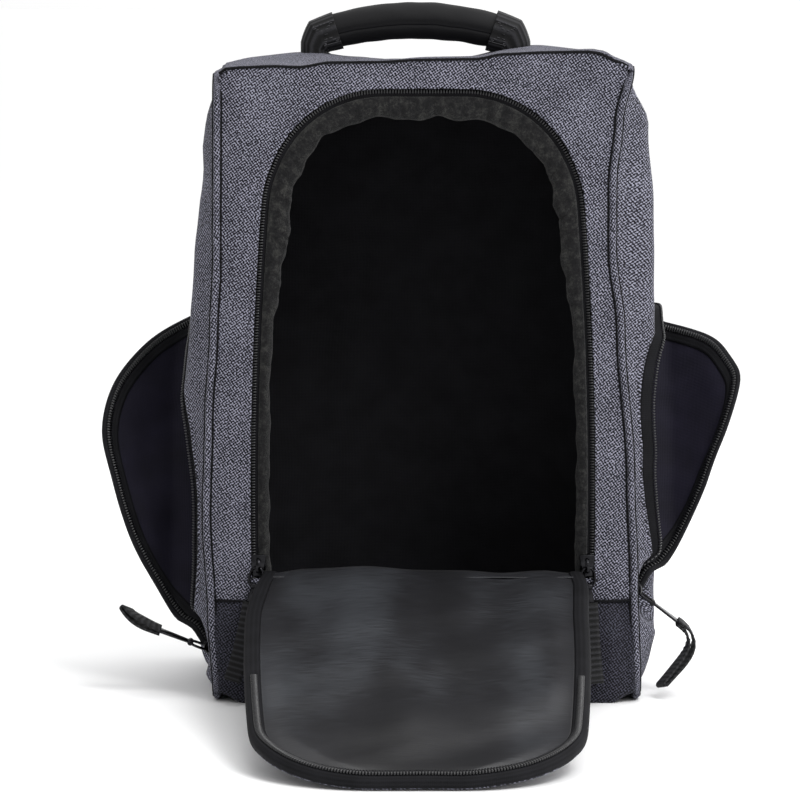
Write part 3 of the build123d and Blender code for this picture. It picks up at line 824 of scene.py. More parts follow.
def grown(points, distance):
    """The same line moved sideways, to the left of its direction."""
    moved = []
    for index, point in enumerate(points):
        a = Vector(points[max(index - 1, 0)])
        b = Vector(points[min(index + 1, len(points) - 1)])
        forward = (b - a).normalized()
        moved.append((point[0] - forward.y * distance, point[1] + forward.x * distance))
    return moved


def on_side(foot, along, reach):
    """Point on a side panel, as (y, z), in mm."""
    return (foot[0] + along * math.sin(lean) - reach * math.cos(lean),
            foot[1] + along * math.cos(lean) + reach * math.sin(lean))


for side, pocket in pockets.items():
    pocket["line"] = smooth_line(pocket["zip"])
    pocket["length"] = pocket["zip"][-1][0]


def inside_outline(y, z, inset=1.0, radius=13.0):
    """Whether a point lies within the side panel's rounded outline."""
    half, high = back_y - inset, top_z - inset
    dy = max(abs(y) - (half - radius), 0)
    dz = max(inset + radius - z, z - (high - radius), 0)
    return math.hypot(dy, dz) <= radius


def to_outline(centre, point):
    """Where the ray from centre through point meets the side panel's outline."""
    direction = Vector((point[0] - centre[0], point[1] - centre[1])).normalized()
    near, far = 0.0, 500.0
    for _ in range(26):
        half = (near + far) / 2
        if inside_outline(centre[0] + direction.x * half, centre[1] + direction.y * half):
            near = half
        else:
            far = half
    return centre[0] + direction.x * near, centre[1] + direction.y * near


def lid_dip(side, y, z):
    """How fully, from 0 to 1, a side is drawn in flat: along its lid's fold and round its slider."""
    foot, length = pockets[side]["foot"], pockets[side]["length"]
    dy, dz = y - foot[0], z - foot[1]
    along = dy * math.sin(lean) + dz * math.cos(lean)
    reach = dz * math.sin(lean) - dy * math.cos(lean)
    window = smooth_step(along / 25) * smooth_step((length - along) / 25)
    fold = (1 - smooth_step(abs(reach) / 26)) * window
    slider = 1 - smooth_step((math.hypot(along - 12, reach - 4) - 12) / 14)
    return max(fold, slider)


def side_x(side, y, z):
    """How far out a side's cloth stands at a place."""
    front_edge = abs(seam_x(side, min(z, head_level))) + 1.5
    share = smooth_step((y - front_y) / (back_y - front_y))
    edge_x = front_edge * (1 - share) + back_seam_x * share
    close = min((y - front_y) / 26, (back_y - y) / 34, (top_z - z) / 34, z / 24)
    out = abs(bulge_x(side, z))
    soft = smooth_step(close)
    crease = ripple(y, z, 51.0 + side, 46, 1.7) + ripple(y * 0.7, z, 57.0 + side, 16, 0.6)
    x = edge_x + (out - edge_x) * soft + crease * soft
    flat = lid_middle + 1.0
    return side * (flat + (x - flat) * (1 - lid_dip(side, y, z)))


side_top = {-1: 359.0, 1: 363.0}


def side_cloth(side):
    pocket = pockets[side]
    foot = pocket["foot"]
    zip_edge = [on_side(foot, a, r) for a, r in grown(pocket["line"], 1.6)]
    fold_edge = [on_side(foot, pocket["length"] * (1 - t / 40), -2.0) for t in range(41)]
    loop = zip_edge + fold_edge
    loop.append(loop[0])
    centre = on_side(foot, pocket["length"] * 0.55, 24)

    def place(u, v):
        inner = sampled(loop, u)
        outer = to_outline(centre, inner)
        y = inner[0] + (outer[0] - inner[0]) * v
        z = inner[1] + (outer[1] - inner[1]) * v
        lip = (1 - smooth_step(v * 10)) * side
        upper = 200.0
        drop = z
        if z > upper:
            drop = (z - upper) * (side_top[side] - upper) / (top_z - 1 - upper) + upper
        return side_x(side, y, z) + lip, y, drop

    piece = cloth(pocket["word"] + "_side_cloth", heather, 320, 26, place, flat_yz, thickness=1.2,
                  offset=0, ring=True)
    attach(piece, "bag")
    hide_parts(pocket["word"] + "_side_panel")
    return piece


side_cloths = {side: side_cloth(side) for side in pockets}
print("side cloths", [len(p.data.polygons) for p in side_cloths.values()])

# %% [markdown]
# ## Corded seams
# Round each side runs a cord covered with a bias strip of the same heather. It is a tube that
# follows the seam's own profile, so it wanders in and out with the stuffed cloth.


# %% Corded seams
def piping(side):
    inset, radius = 2.0, 13.0
    low, high = inset, side_top[side] - 0.6
    front, back = front_y + inset, back_y - inset
    path = []

    def corner(y, z, start):
        for step in range(9):
            turn = math.radians(start + 90 * step / 8)
            path.append((y + radius * math.cos(turn), z + radius * math.sin(turn)))

    for step in range(45):
        path.append((front, high - radius - (high - low - 2 * radius) * step / 45))
    corner(front + radius, low + radius, 180)
    for step in range(1, 20):
        path.append((front + radius + (back - front - 2 * radius) * step / 20, low))
    corner(back - radius, low + radius, 270)
    for step in range(1, 45):
        path.append((back, low + radius + (high - low - 2 * radius) * step / 45))
    corner(back - radius, high - radius, 0)
    for step in range(1, 20):
        path.append((back - radius - (back - front - 2 * radius) * step / 20, high))
    corner(front + radius, high - radius, 90)
    points = []
    for y, z in path:
        share = smooth_step((y - front) / (back - front))
        front_x = abs(seam_x(side, min(max(z, seam_foot), head_level))) + 1.4
        x = front_x * (1 - share) + (back_seam_x + 0.3) * share
        points.append((side * x, y - 0.6 * (1 - share), z))
    cord = tube(pockets[side]["word"] + "_piping_cord", heather, points, 2.0, sides=12, closed=True,
                squeeze=lambda i: 1 + 0.06 * math.sin(i * 1.9))
    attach(cord, "bag")
    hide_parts(pockets[side]["word"] + "_piping")
    # Each side of the cord gets a near-black line of painted shade where it sinks into the panels.
    for edge, shift, sunk in (("inner", -2.5, 0.0), ("outer", 2.2, 1.3)):
        line = [(x + side * shift, y + sunk * (1 if y < 0 else -1), z) for x, y, z in points]
        thread = tube("%s_piping_%s_seam" % (pockets[side]["word"], edge), painted_seam_shade, line, 0.6, sides=6,
                      closed=True)
        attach(thread, "bag")


for side in pockets:
    piping(side)


def front_seam(name, level, height_at, stand, radius):
    """A near-black line of painted shade where a tight seam sinks, across the front, from one corded seam to
    the other.
    """
    points = []
    for step in range(61):
        x = across_front(level, step / 60)
        z = height_at(x)
        points.append((x, front_y - front_bow(x, z) - stand, z))
    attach(tube(name, painted_seam_shade, points, radius, sides=6), "bag")


front_seam("head_seam", head_level, head_line, 0.9, 0.85)
front_seam("band_seam", band_z, lambda x: band_z, 0.8, 0.7)
print("corded seams made")

# %% [markdown]
# ## Main zipper on the bag's side
# From the cloth inwards come the teeth, a strip of woven tape, and a soft brushed binding
# that ruffles where it goes round the curve. Tape and binding are ribbons: a grid whose
# long side follows the arch.


# %% Ribbon helper and the main zipper
def ribbon(name, finish, line, section, steps_across, body, thickness=0.7, per=1.0, offset=0):
    """A strip along a 2-D line; section(across, line point, share) gives its own point in mm."""
    run = sum(math.dist(a, b) for a, b in zip(line, line[1:]))
    count = int(len(line) * per)

    def place(u, v):
        return section(u, sampled(line, v), v)

    piece = cloth(name, finish, steps_across, count, place, lambda u, v, p: (u * 8, v * run),
                  thickness=thickness, offset=offset)
    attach(piece, body)
    return piece


def between_lines(first, second, depth):
    """Section of a flat strip between two matching lines; depth(across, share) sets its Y."""
    def section(across, point, share):
        a, b = sampled(first, share), sampled(second, share)
        x, z = a[0] + (b[0] - a[0]) * across, a[1] + (b[1] - a[1]) * across
        return x, depth(across, share), z
    return section


teeth_line = arch_line(0.0, opening_foot + 2, 1.6)
tape_outer = arch_line(-0.6, opening_foot + 1)
tape_inner = arch_line(-4.0, opening_foot + 1)
bind_outer = arch_line(-3.2, opening_foot + 1)
bind_inner = arch_line(-13.4, opening_foot + 1)

main_tape = ribbon("opening_tape_strip", zipper_tape, tape_outer,
                   between_lines(tape_outer, tape_inner, lambda a, s: front_y + 0.4 + 0.5 * a), 5, "bag",
                   thickness=0.7)
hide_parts("opening_tape")


binding_run = 720.0


def ruffle(across, share):
    """How far back the binding lies: rolled along its length, and ruffled towards its free edge."""
    run = share * binding_run
    fine = 2.3 * noise.noise(Vector((run / 4.2, 5.0, 1.0)))
    broad = 0.8 * noise.noise(Vector((run / 11, 2.0, 9.0)))
    return front_y - 0.2 - 1.9 * math.sin(math.pi * across) + across * 2.6 + across * (fine + broad)


def binding_section(across, point, share):
    a, b = sampled(bind_outer, share), sampled(bind_inner, share)
    run = share * binding_run
    wide = 0.55 + 0.62 * smooth_step((0.30 - abs(share - 0.5)) / 0.14)
    wobble = wide * (1 + (0.22 * noise.noise(Vector((run / 13.0, 8.0, 3.0)))
                          + 0.34 * noise.noise(Vector((run / 34.0, 4.0, 6.0)))) * across)
    x, z = a[0] + (b[0] - a[0]) * across * wobble, a[1] + (b[1] - a[1]) * across * wobble
    return x, ruffle(across, share), z


main_binding = ribbon("opening_binding_strip", binding, bind_outer, binding_section, 8, "bag",
                      thickness=1.4, per=2.2)
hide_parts("opening_binding")

tooth_pitch = 1.6
bag_teeth = row_of("opening_coil", nylon_coil, tooth,
                   [turned((p.x, front_y - 0.9, p.y), (forward.x, 0, forward.y), (0, -1, 0))
                    for p, forward in walk([(x, z, 0) for x, z in teeth_line], tooth_pitch)])
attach(bag_teeth, "bag")
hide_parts("opening_teeth")
print("coil of", len(bag_teeth.data.polygons), "faces")

# %% [markdown]
# ## Inside of the main compartment
# Black lining covers the back, sides, floor and roof, and returns behind the front cloth. It
# starts as a cube with its front face taken off, cut fine enough to sag and crease.


# %% Main compartment lining
low_corner, high_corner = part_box("main_lining")
clear_selection()
size = [high_corner[i] - low_corner[i] for i in range(3)]
middle = [(high_corner[i] + low_corner[i]) / 2 for i in range(3)]
bpy.ops.mesh.primitive_cube_add(size=1, location=middle, scale=size)
lining_box = bpy.context.active_object
lining_box.name = "compartment_lining"
bpy.ops.object.transform_apply(location=True, rotation=False, scale=True)
bpy.ops.object.mode_set(mode="EDIT")
bpy.ops.mesh.select_mode(type="FACE")
bpy.ops.mesh.select_all(action="DESELECT")
bpy.ops.object.mode_set(mode="OBJECT")
for face in lining_box.data.polygons:
    face.select = face.normal.y < -0.9
bpy.ops.object.mode_set(mode="EDIT")
bpy.ops.mesh.delete(type="FACE")
bpy.ops.mesh.select_all(action="SELECT")
bpy.ops.mesh.subdivide(number_cuts=30)
bpy.ops.mesh.normals_make_consistent(inside=True)
bpy.ops.object.mode_set(mode="OBJECT")
for vertex in lining_box.data.vertices:
    x, y, z = vertex.co.x / MM, vertex.co.y / MM, vertex.co.z / MM
    pull = Vector((-x / 105, -y / 84, (185 - z) / 180))
    crease = 1.4 + 1.6 * noise.noise(Vector((x / 30, y / 30, z / 46)))
    vertex.co += pull.normalized() * crease * MM
for loop in lining_box.data.loops:
    spot = lining_box.data.vertices[loop.vertex_index].co
    lining_box.data.uv_layers.active.data[loop.index].uv = (spot.x + spot.y, spot.z + spot.y)
lining_box.data.materials.append(black_lining)
bpy.ops.object.shade_smooth()
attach(lining_box, "bag")


def front_return(u, v):
    inner = sampled(bind_outer, u)
    outer = outer_front(u)
    x = inner[0] + (outer[0] * 0.88 - inner[0]) * v
    z = inner[1] + (min(outer[1], 354) - inner[1]) * v
    return x, front_y + 4.2, z


front_lining = cloth("front_return_lining", black_lining, 140, 4, front_return, flat_xz, thickness=0.6,
                     offset=0)
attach(front_lining, "bag")
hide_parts("main_lining")
print("lining", len(lining_box.data.polygons))

# %% [markdown]
# ## The door
# The door is a padded slab: satin on the inside, heather on the outside, a black tape border
# round its edge and the other half of the coil. It lies open, sloping to the floor. Its pieces
# are drawn by distance from the fold ("run"), across ("x") and above its outer face ("rise").


# %% Door pieces
def on_door(x, run, rise):
    """A place on the open door, in mm."""
    return (x, door_axis_y - run * math.cos(door_slope) - rise * math.sin(door_slope),
            opening_foot - run * math.sin(door_slope) + rise * math.cos(door_slope))


def half_outline(grow, foot):
    """The right half of the arch from its foot up to the end of its corner, as (half width, height)."""
    line = [p for p in arch_line(grow, foot, 2.0) if p[0] > 21.0]
    return list(reversed(line))


door_grow = -3.0
door_start = 1.5
door_half = half_outline(door_grow, opening_foot + door_start)
lining_half = half_outline(door_grow - 7.0, opening_foot + door_start)
door_length = door_half[-1][1] - opening_foot


def door_wave(x, run):
    """Gentle folds in the padded door, in mm."""
    diagonal = x * 0.55 + run
    fold = 2.6 * noise.noise(Vector((diagonal / 46, (x - run * 0.3) / 120, 4.0)))
    small = 0.7 * noise.noise(Vector((x / 26, run / 30, 8.0)))
    ridge = 3.0 * math.exp(-((x + 34 - run * 0.16) / 20) ** 2) * smooth_step((door_length - run) / 90)
    dip = -1.6 * math.exp(-((x - 48 + run * 0.1) / 16) ** 2)
    return fold + small + ridge + dip


def door_x(x, run):
    """The slack door spreads a little once it is clear of the zipper, and lies a touch to its left."""
    spread = smooth_step((run - 12) / 50) * smooth_step((door_length - run) / 70)
    return x * (1 - 0.026 * (1 - smooth_step(run / 22)) + 0.012 * spread) - 3.6 * smooth_step(run / 70)


def door_sheet(half, rise, crown):
    def place(u, v):
        w, height = sampled(half, v)
        x = w * (2 * u - 1)
        run = height - opening_foot
        edge = smooth_step((1 - abs(2 * u - 1)) * w / 16) * smooth_step((door_length - run) / 16)
        lift = rise + crown * edge + door_wave(x, run) * (0.3 + 0.7 * edge)
        return on_door(door_x(x, run), run, lift)
    return place


lay_door = lambda u, v, p: (p.x, -p.y)
door_lining = cloth("door_satin_lining", satin, 80, 110, door_sheet(lining_half, 5.6, 1.6), lay_door,
                    thickness=0.6, offset=0)
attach(door_lining, "door")
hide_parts("door_lining", "door_foam")
door_outer = cloth("door_outer_cloth", heather, 70, 100,
                   lambda u, v: door_sheet(door_half, 0.9, -0.2)(1 - u, v), lay_door, thickness=1.0, offset=0)
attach(door_outer, "door")
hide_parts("door_outer")

full_outline = arch_line(door_grow, opening_foot + door_start, 2.4)
inner_outline = arch_line(door_grow - 8.0, opening_foot + door_start, 2.4)


edge_wave = 0.35


def edge_section(across, point, share):
    """Border tape that starts on the lining, turns over the edge and ends under the door."""
    outer = sampled(full_outline, share)
    inner = sampled(inner_outline, share)
    stations = [(1.0, 6.1), (0.75, 6.6), (0.45, 6.7), (0.15, 6.3), (-0.02, 5.0), (-0.04, 3.0), (0.0, 1.2),
                (0.2, 0.3), (0.5, 0.1)]
    inset, rise = between(stations, across)
    x = outer[0] + (inner[0] - outer[0]) * inset
    run = outer[1] + (inner[1] - outer[1]) * inset - opening_foot
    return on_door(door_x(x, run), run, rise + door_wave(x, run) * edge_wave)


door_edge = ribbon("door_border_tape", zipper_tape, full_outline, edge_section, 16, "door", thickness=0.6)
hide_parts("door_edge_band", "door_tape")


def door_coil_places(grow, rise, foot):
    """The coil shows on the door only round its head, where the tape is turned outwards."""
    line = [p for p in arch_line(grow, foot, tooth_pitch) if p[1] > opening_foot + 150]
    places = []
    for point, forward in walk([(x, z, 0) for x, z in line], tooth_pitch):
        run = point.y - opening_foot
        spot = on_door(door_x(point.x, run), run, rise + door_wave(point.x, run) * edge_wave)
        ahead = Vector(on_door(point.x + forward.x, point.y + forward.y - opening_foot, rise)) \
            - Vector(on_door(point.x, point.y - opening_foot, rise))
        places.append(turned(spot, ahead, (0, -math.sin(door_slope), math.cos(door_slope)), 1.5))
    return places


door_teeth = row_of("door_coil", nylon_coil, tooth, door_coil_places(-7.6, 7.4, opening_foot + 19))
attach(door_teeth, "door")
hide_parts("door_teeth")
print("door", len(door_lining.data.polygons))


# %% [markdown]
# ## The fold
# The door is joined to the bag by its own cloth, which bends round the fold. Two strips, satin
# above and heather below, go from the front cloth to the door, drawn as they lie open; they
# belong to neither body.


# %% Fold cloth
fold_half = opening_half_foot - 7.0


def fold_place(u, v):
    x = -fold_half + 2 * fold_half * u
    wave = 1.7 * math.sin((x + 96) / 31.0) + 1.2 * noise.noise(Vector((x / 20, 3.0, 2.0)))
    stations = [(front_y + 3.0, opening_foot - 1.0), (front_y - 1.4, opening_foot + 0.6),
                (door_axis_y + 1.8, opening_foot + 3.4), on_door(0, 3.5, 6.0)[1:], on_door(0, 10, 6.4)[1:]]
    y, z = between(stations, v)
    return x, y, z + wave * math.sin(math.pi * v)


fold_top = cloth("fold_lining", satin, 110, 16, fold_place, flat_xy, thickness=0.6, offset=0)


def fold_under_place(u, v):
    x = -fold_half + 2 * fold_half * u
    stations = [(front_y - 0.8, opening_foot - 2.5), (front_y - 3.0, opening_foot - 1.8),
                (door_axis_y + 0.5, opening_foot - 0.6), on_door(0, 3.0, 0.7)[1:], on_door(0, 9, 0.6)[1:]]
    return (x, *between(stations, v))


fold_under = cloth("fold_outer_cloth", heather, 80, 14, fold_under_place, flat_xy, thickness=0.8, offset=0)
for strip in (fold_top, fold_under):
    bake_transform(strip)
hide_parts("door_fold_welt")
print("fold made")

# %% [markdown]
# ## Pocket lids
# A lid is two cloths, heather outside and dark navy inside, with a strip of tape and the
# lid's half of the coil along its curved edge. Opened, it stands out like an ear and
# bellies a little, because its zipper edge is longer than a flat cloth would be.


# %% Pocket lids
def lid_frame(side):
    """Directions of an open lid: up its fold, out to its edge, and off its outer face."""
    fold = Vector((0, math.sin(lean), math.cos(lean)))
    shut = Vector((0, -math.cos(lean), math.sin(lean)))
    out = Vector((side, 0, 0))
    reach = shut * math.cos(lid_angle) + out * math.sin(lid_angle)
    off = out * math.cos(lid_angle) - shut * math.sin(lid_angle)
    return fold, reach, off


def on_lid(side, along, reach, lift):
    foot = pockets[side]["foot"]
    fold, out, off = lid_frame(side)
    return Vector((side * lid_middle, foot[0], foot[1])) + fold * along + out * reach + off * lift


def lid_belly(side, along, reach):
    """How far a lid stands off its own plane, so that it matches the stuffed side when shut."""
    y, z = on_side(pockets[side]["foot"], along, reach)
    return abs(side_x(side, y, z)) - lid_middle - 1.0 \
        + 1.2 * noise.noise(Vector((along / 34, reach / 22, 12.0 + side)))


def lid_sheet(side, grow, lift, mirror):
    pocket = pockets[side]
    edge = grown(pocket["line"], grow)
    edge = [(a, max(r, 0.8)) for a, r in edge]

    def place(u, v):
        a, r = sampled(edge, 1 - u if mirror else u)
        reach = 0.8 + (r - 0.8) * v
        return on_lid(side, a, reach, lift + lid_belly(side, a, reach))
    return place


def lid_pieces(side):
    word = pockets[side]["word"]
    fold, out, off = lid_frame(side)
    lay = lambda u, v, p: (p.dot(out), p.dot(fold))
    skin = cloth(word + "_lid_heather", heather, 110, 26, lid_sheet(side, -5.2, 1.0, side < 0), lay,
                 thickness=0.8, offset=0)
    inner = cloth(word + "_lid_navy_lining", navy_lining, 110, 26, lid_sheet(side, -5.2, -0.8, side > 0), lay,
                  thickness=0.6, offset=0)
    edge = grown(pockets[side]["line"], -1.6)
    edge = [(a, r) for a, r in edge if r > 1.0]
    deep = grown(pockets[side]["line"], -14.0)

    def tape_section(across, point, share):
        along, reach = point
        stations = [(10.5, -1.3), (7.0, -1.7), (3.0, -1.6), (0.6, -1.5), (-0.3, -0.2), (0.3, 1.3), (2.6, 1.4)]
        inset, lift = between(stations, across)
        inner_point = sampled(deep, share)
        direction = Vector((inner_point[0] - along, inner_point[1] - reach))
        direction = direction.normalized() if direction.length > 0 else Vector((0, -1))
        a, r = along + direction.x * inset, max(reach + direction.y * inset, 0.6)
        return on_lid(side, a, r, lift + lid_belly(side, a, r))

    tape = ribbon(word + "_lid_edge_tape", zipper_tape, edge, tape_section, 10, word + "_lid", 0.5)
    places = []
    coil = [(a, r) for a, r in grown(pockets[side]["line"], -5.0) if r > 2.0]
    for point, forward in walk([(a, r, 0) for a, r in coil], tooth_pitch):
        spot = on_lid(side, point.x, point.y, -2.2 + lid_belly(side, point.x, point.y))
        places.append(turned(spot, fold * forward.x + out * forward.y, -off, 1.3))
    teeth = row_of(word + "_lid_coil", nylon_coil, tooth, places)
    for piece, node in ((skin, "fabric"), (inner, "lining"), (tape, "tape"), (teeth, "teeth")):
        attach(piece, word + "_lid")
        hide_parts(word + "_lid_" + node)
    return skin, inner


lids = {side: lid_pieces(side) for side in pockets}


# %% [markdown]
# ## Pocket folds, mouths and linings
# A strip of heather bends from the side panel on to the lid along the fold. Round the rest of
# the mouth are the bag's half of the coil and its tape, and behind it the pocket's dark lining.


# %% Pocket mouths
def pocket_mouth(side):
    pocket = pockets[side]
    word, foot = pocket["word"], pocket["foot"]
    fold, out, off = lid_frame(side)

    def fold_strip(u, v):
        along = 3 + (pocket["length"] - 6) * u
        base = Vector((side * lid_middle, foot[0], foot[1])) + fold * along
        y, z = on_side(foot, along, -4.0)
        start = Vector((side_x(side, y, z) + side * 0.5, y, z))
        end = on_lid(side, along, min(5.0, 3 + along * 0.2), 1.9)
        middle = base + Vector((side * 1.6, 1.0, 0))
        if v < 0.5:
            return start.lerp(middle, v * 2)
        return middle.lerp(end, v * 2 - 1)

    strip = cloth(word + "_pocket_fold", heather, 90, 10, fold_strip, flat_yz, thickness=0.8, offset=0)
    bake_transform(strip)

    line = grown(pocket["line"], 0.4)

    def tape_section(across, point, share):
        y, z = on_side(foot, point[0], point[1])
        stand = 0.3
        if 0 < share < 0.96:
            stand = pocket["wall"] * math.sin(math.pi * min(share * 1.04, 1)) ** 0.5
        x = side_x(side, y, z) + side * (stand * across + 0.2)
        inner_y, inner_z = on_side(foot, point[0], point[1] - 0.8 * across)
        return x, inner_y, inner_z

    tape = ribbon(word + "_mouth_tape", zipper_tape, line, tape_section, 6, "bag", 0.6)
    places = []
    for index, (point, forward) in enumerate(walk([(a, r, 0) for a, r in line], tooth_pitch)):
        share = index * tooth_pitch / (len(line) * 3.0)
        stand = pocket["wall"] * math.sin(math.pi * min(max(share * 1.04, 0.001), 0.999)) ** 0.5
        y, z = on_side(foot, point.x, point.y - 0.8)
        ahead = Vector((0, *on_side((0, 0), forward.x, forward.y)))
        places.append(turned((side_x(side, y, z) + side * (stand + 0.6), y, z), ahead, (side, -0.5, 0)))
    teeth = row_of(word + "_mouth_coil", nylon_coil, tooth, places)

    def back_place(u, v):
        y = front_y + 6 + (back_y - front_y - 12) * (u if side > 0 else 1 - u)
        z = 6 + (top_z - 12) * v
        return side * (111.0 + 1.2 * noise.noise(Vector((y / 30, z / 40, 15.0)))), y, z

    backing = cloth(word + "_pocket_lining", navy_lining, 50, 80, back_place, flat_yz, thickness=0.6,
                    offset=0)
    for piece, node in ((tape, "tape"), (teeth, "teeth"), (backing, "back")):
        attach(piece, "bag")
        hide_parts(word + "_pocket_" + node)


for side in pockets:
    pocket_mouth(side)
print("pockets made")

# %% [markdown]
# ## Padded handle
# The grip is foam rolled in plain black cloth and closed along its side by one seam. It
# arches between two webbing tails that are sewn flat, boxed and crossed, and dive into the
# top. The grip is a ring of faces swept along the arch, a little fatter in the middle.

# %% Handle
grip_half = 58.0
handle_x = -4.4
grip_height = 388.2
grip_drop = 9.6
grip_seam_turn = 188.0


def arch_height(share):
    """Height of the grip's centre line, by distance from its middle (0) to an end (1)."""
    return grip_height - grip_drop * abs(share) ** 2.1


def grip_place(u, v):
    share = 2 * v - 1
    turn = 2 * math.pi * u
    tall = 10.7 - 1.6 * abs(share) ** 3
    deep = 12.6 - 1.2 * abs(share) ** 3
    slope = -grip_drop * 2.1 * abs(share) ** 1.1 * (1 if share > 0 else -1) / grip_half
    normal = Vector((-slope, 0, 1)).normalized()
    squareness = 0.86
    across = math.copysign(abs(math.cos(turn)) ** squareness, math.cos(turn)) * deep
    up = math.copysign(abs(math.sin(turn)) ** squareness, math.sin(turn)) * tall
    seam = 0.9 * math.exp(-((turn - math.radians(grip_seam_turn)) / 0.10) ** 2)
    centre = Vector((handle_x + share * grip_half, 0, arch_height(share)))
    swell = 0.5 * noise.noise(Vector((share * 5, math.cos(turn) * 1.4, math.sin(turn) * 1.4)))
    return centre + Vector((0, 1, 0)) * across * (1 - seam / 12) + normal * (up + swell)


grip = cloth("handle_grip_cover", grip_cover, 48, 64, grip_place, lambda u, v, p: (u * 75, v * 124),
             thickness=0, ring=True)
close_ends(grip)
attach(grip, "handle")
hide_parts("handle_grip", "handle_core")

seam_points = []
for step in range(53):
    v = 0.03 + 0.94 * step / 52
    point = grip_place(grip_seam_turn / 360, v)
    seam_points.append((point.x, point.y - 0.1, point.z))
# A near-black line along the grip is painted shade in its sunken seam.
grip_seam = tube("handle_grip_seam", painted_seam_shade, seam_points, 0.5, sides=6)
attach(grip_seam, "handle")


def tail_place(end):
    """Webbing that hugs a grip's end, then turns down into the top."""
    x_in = handle_x + end * (grip_half - 13)
    x_down = handle_x + end * (grip_half + 0.5)
    # each station: place along the bag, height, half height, half depth and tilt of the section
    stations = [(x_in, arch_height((x_in - handle_x) / grip_half), 11.0, 11.4, 0.32),
                (handle_x + end * (grip_half - 2.5), 379.0, 10.6, 11.6, 0.62),
                (x_down, 373.0, 8.4, 11.2, 1.2), (x_down, top_z - 1.0, 7.6, 10.6, 1.57)]

    def place(u, v):
        x, z, tall, deep, tilt = between(stations, v, smooth_step)
        turn = 2 * math.pi * u
        normal = Vector((end * math.sin(tilt), 0, math.cos(tilt)))
        across = math.copysign(abs(math.cos(turn)) ** 0.6, math.cos(turn)) * (deep + 0.9)
        up = math.copysign(abs(math.sin(turn)) ** 0.6, math.sin(turn)) * (tall + 0.2)
        return Vector((x, across, z)) + normal * up
    return place


for end, word in ((-1, "left"), (1, "right")):
    place = tail_place(end)
    tail = cloth("handle_%s_tail" % word, webbing, 40, 26, place, lambda u, v, p: (v * 30, u * 62),
                 thickness=1.0, offset=1, ring=True)
    x = (handle_x + end * (grip_half + 3)) * MM
    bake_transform(tail)
    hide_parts("handle_strap")
    spots = []
    for row in range(2):
        for step in range(7):
            spots.append((0.50 + (row - 0.5) * 0.13, 0.08 + 0.24 * step / 6))
    for step in range(9):
        spots.append((0.435 + 0.13 * step / 8, 0.06 + 0.27 * step / 8))
        spots.append((0.565 - 0.13 * step / 8, 0.06 + 0.27 * step / 8))
    marks = []
    for u, v in spots:
        point, ahead = place(u, v), place(u, v + 0.02)
        marks.append(turned(point + Vector((0, -1.3, 0)), ahead - point, (0, -1, 0), 0.8))
    threads = row_of("handle_%s_stitches" % word, stitch_thread, stitch, marks)
    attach(threads, "handle")


def anchor_place(end):
    def place(u, v):
        x = handle_x + end * (grip_half + 0.5) + (u - 0.5) * 19
        y = (v - 0.5) * 25
        edge = min(u, 1 - u, v, 1 - v)
        return x, y, top_z + 5.6 - 1.6 * (1 - smooth_step(edge * 6)) - abs(y) * 0.06
    return place


for end, word in ((-1, "left"), (1, "right")):
    patch = cloth("handle_%s_anchor" % word, webbing, 12, 16, anchor_place(end), flat_xy, thickness=1.2,
                  offset=-1)
    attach(patch, "bag")
    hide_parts("handle_anchors")
print("handle made")

# %% [markdown]
# ## Sliders and their pulls
# Each slider is a small casting: a rounded plate with turned-in edges and a bridge. An oval
# ring hangs from the bridge, a flat tab from the ring, and a folded loop of ribbed webbing
# from the tab. One of each is modelled upright at the origin, then copied to the four
# sliders by the directions of their joints.


# %% Patterns for a slider and a tab
def joined(parts, name):
    """The parts as one pattern, smooth over its rounds and crisp at its corners."""
    pick(parts[0])
    for part in parts:
        part.select_set(True)
    bpy.ops.object.join()
    parts[0].name = name
    bpy.ops.object.shade_smooth_by_angle(angle=math.radians(38))
    return parts[0]


def slider_pattern():
    """Across is X, outward is Z and along the zipper is Y, with the plate's back at zero."""
    plate = block((0, 0, 0.8), (8.8, 12.6, 1.6))
    for vertex in plate.data.vertices:
        if vertex.co.y < 0:
            vertex.co.x *= 0.72
    bevel_edges(0.7, 3)
    parts = [plate]
    for side in (-1, 1):
        parts.append(block((side * 3.7, 1.2, -0.4), (1.0, 7.5, 1.6)))
        bevel_edges(0.3, 2)
    clear_selection()
    bpy.ops.mesh.primitive_torus_add(major_radius=3.6 * MM, minor_radius=0.95 * MM, major_segments=28,
                                     minor_segments=10, location=(0, 0, 1.5 * MM),
                                     rotation=(0, math.radians(90), 0))
    bridge = bpy.context.active_object
    bpy.ops.object.transform_apply(location=True, rotation=True, scale=True)
    bpy.ops.object.mode_set(mode="EDIT")
    bpy.ops.mesh.select_all(action="SELECT")
    bpy.ops.mesh.bisect(plane_co=(0, 0, 1.0 * MM), plane_no=(0, 0, 1), clear_inner=True, use_fill=True)
    bpy.ops.object.mode_set(mode="OBJECT")
    for vertex in bridge.data.vertices:
        vertex.co.x *= 1.35
        vertex.co.z = 1.0 * MM + (vertex.co.z - 1.0 * MM) * 0.78
    parts.append(bridge)
    return joined(parts, "slider pattern")


def tab_pattern(length, width):
    """A flat tab that hangs down -Y from a knuckle at the origin, with its face to Z."""
    clear_selection()
    bpy.ops.mesh.primitive_cylinder_add(vertices=20, radius=1.75 * MM, depth=4.6 * MM,
                                        rotation=(0, math.radians(90), 0))
    knuckle = bpy.context.active_object
    bpy.ops.object.transform_apply(location=False, rotation=True, scale=False)
    bevel_edges(0.35, 2)
    blade = block((0, -(1.0 + length / 2), 0), (width, length, 1.3))
    for vertex in blade.data.vertices:
        if vertex.co.y > -2 * MM:
            vertex.co.x *= 0.62
    bevel_edges(0.4, 3)
    return joined([blade, knuckle], "tab pattern")


slider_shape = slider_pattern()
short_tab_length, long_tab_length = 9.0, 18.0
short_tab = tab_pattern(short_tab_length, 6.2)
long_tab = tab_pattern(long_tab_length, 6.8)


